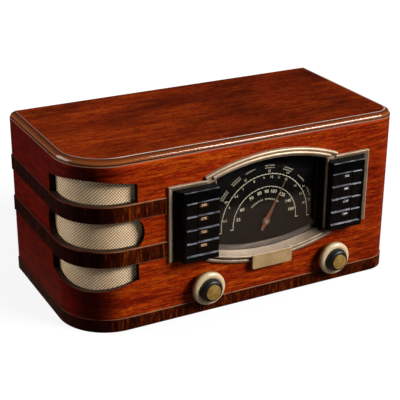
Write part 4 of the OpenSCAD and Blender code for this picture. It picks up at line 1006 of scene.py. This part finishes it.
def pale_floor():
    material, tree, principled = finish_of("pale_floor", Base_Color=colour("#6c6c6c"),
                                           Roughness=0.9, Specular_IOR_Level=0.0)
    direct, mirrored = rays_of(tree)
    behind = add(tree, "ShaderNodeMapRange", {
        "Value": coordinate(tree, "Y"), 1: front_y - 0.30, 2: front_y - 0.26, 3: 0.004, 4: 0.2})
    pool = add(tree, "ShaderNodeMapRange", {
        "Value": coordinate(tree, "X"), 1: left_x - 0.06, 2: left_x - 0.02, 3: 0.004, 4: behind})
    seen = add(tree, "ShaderNodeMath", {0: pool, 1: mirrored}, operation="MULTIPLY")
    place = add(tree, "ShaderNodeTexCoord", out="Object")
    away = add(tree, "ShaderNodeVectorMath", {0: place}, out="Value", operation="LENGTH")
    white = add(tree, "ShaderNodeMapRange", {"Value": away, 1: 0.4, 2: 0.9, 3: 0.86, 4: 1.0})
    shine = add(tree, "ShaderNodeMath", {0: direct, 1: white, 2: seen}, operation="MULTIPLY_ADD")
    tint = covered(tree, colour("#ffd7b5"), colour("#ffffff"), direct)
    glow = add(tree, "ShaderNodeEmission", {"Color": tint, "Strength": shine})
    both = add(tree, "ShaderNodeAddShader", {0: principled.outputs[0], 1: glow})
    shown = add(tree, "ShaderNodeMixShader", {0: mirrored, 1: both, 2: glow})
    tree.links.new(shown, tree.nodes["Material Output"].inputs["Surface"])
    return material


floor_half = 6
floor_mesh = bpy.data.meshes.new("floor")
floor_mesh.from_pydata([(x * floor_half, y * floor_half, 0) for x, y in ((-1, -1), (1, -1), (1, 1), (-1, 1))],
                       [], [(0, 1, 2, 3)])
floor_mesh.materials.append(pale_floor())
floor = put("floor", floor_mesh)
floor.location.z = -0.2 * MM
print("floor laid")

# %% [markdown]
# The world is white to the camera, lights the set only dimly, and is darker still in mirrors
# and glass, where it grows a little lighter overhead.

# %% World
world = bpy.data.worlds.new("studio")
bpy.context.scene.world = world
world.use_nodes = True
sky = world.node_tree
sky.nodes.clear()
direct, mirrored = rays_of(sky)
heading = add(sky, "ShaderNodeTexCoord", out="Generated")
rise = add(sky, "ShaderNodeSeparateXYZ", {0: heading}, out="Z")
mirror_light = add(sky, "ShaderNodeMapRange", {"Value": rise, 1: 0.0, 2: 0.5, 3: 0.03, 4: 0.05})
dim, seen, white = [
    add(sky, "ShaderNodeBackground", {"Color": (1, 1, 1, 1), "Strength": strength})
    for strength in (0.08, mirror_light, 1.0)]
first = add(sky, "ShaderNodeMixShader", {0: mirrored, 1: dim, 2: seen})
last = add(sky, "ShaderNodeMixShader", {0: direct, 1: first, 2: white})
sky.links.new(last, sky.nodes.new("ShaderNodeOutputWorld").inputs["Surface"])
print("world ready")

# %% [markdown]
# Two soft lamps: a large one at the front right makes the shadows and the gleam along the
# bead, and a weak one behind the left side lifts that side off the background.

# %% Lamps
def soft_lamp(name, heading, rise, distance, size, power):
    """A lamp aimed at the set: heading from the front to the right and rise, both in degrees."""
    turn, lift = math.radians(heading), math.radians(rise)
    away = Vector((math.sin(turn) * math.cos(lift), -math.cos(turn) * math.cos(lift), math.sin(lift)))
    lamp = bpy.data.lights.new(name, "AREA")
    lamp.shape = "RECTANGLE"
    lamp.size, lamp.size_y = size
    lamp.energy = power
    made = put(name, lamp)
    made.location = Vector((0, 0, 0.12)) + away * distance
    made.rotation_mode = "QUATERNION"
    made.rotation_quaternion = away.to_track_quat("Z", "Y")
    print(name, "at", tuple(round(v, 2) for v in made.location))


soft_lamp("right_softbox", 40, 33, 3.0, (1.3, 0.9), 128)
soft_lamp("left_softbox", -115, 20, 1.7, (1.0, 1.0), 18)
bpy.context.scene.view_settings.view_transform = "Standard"
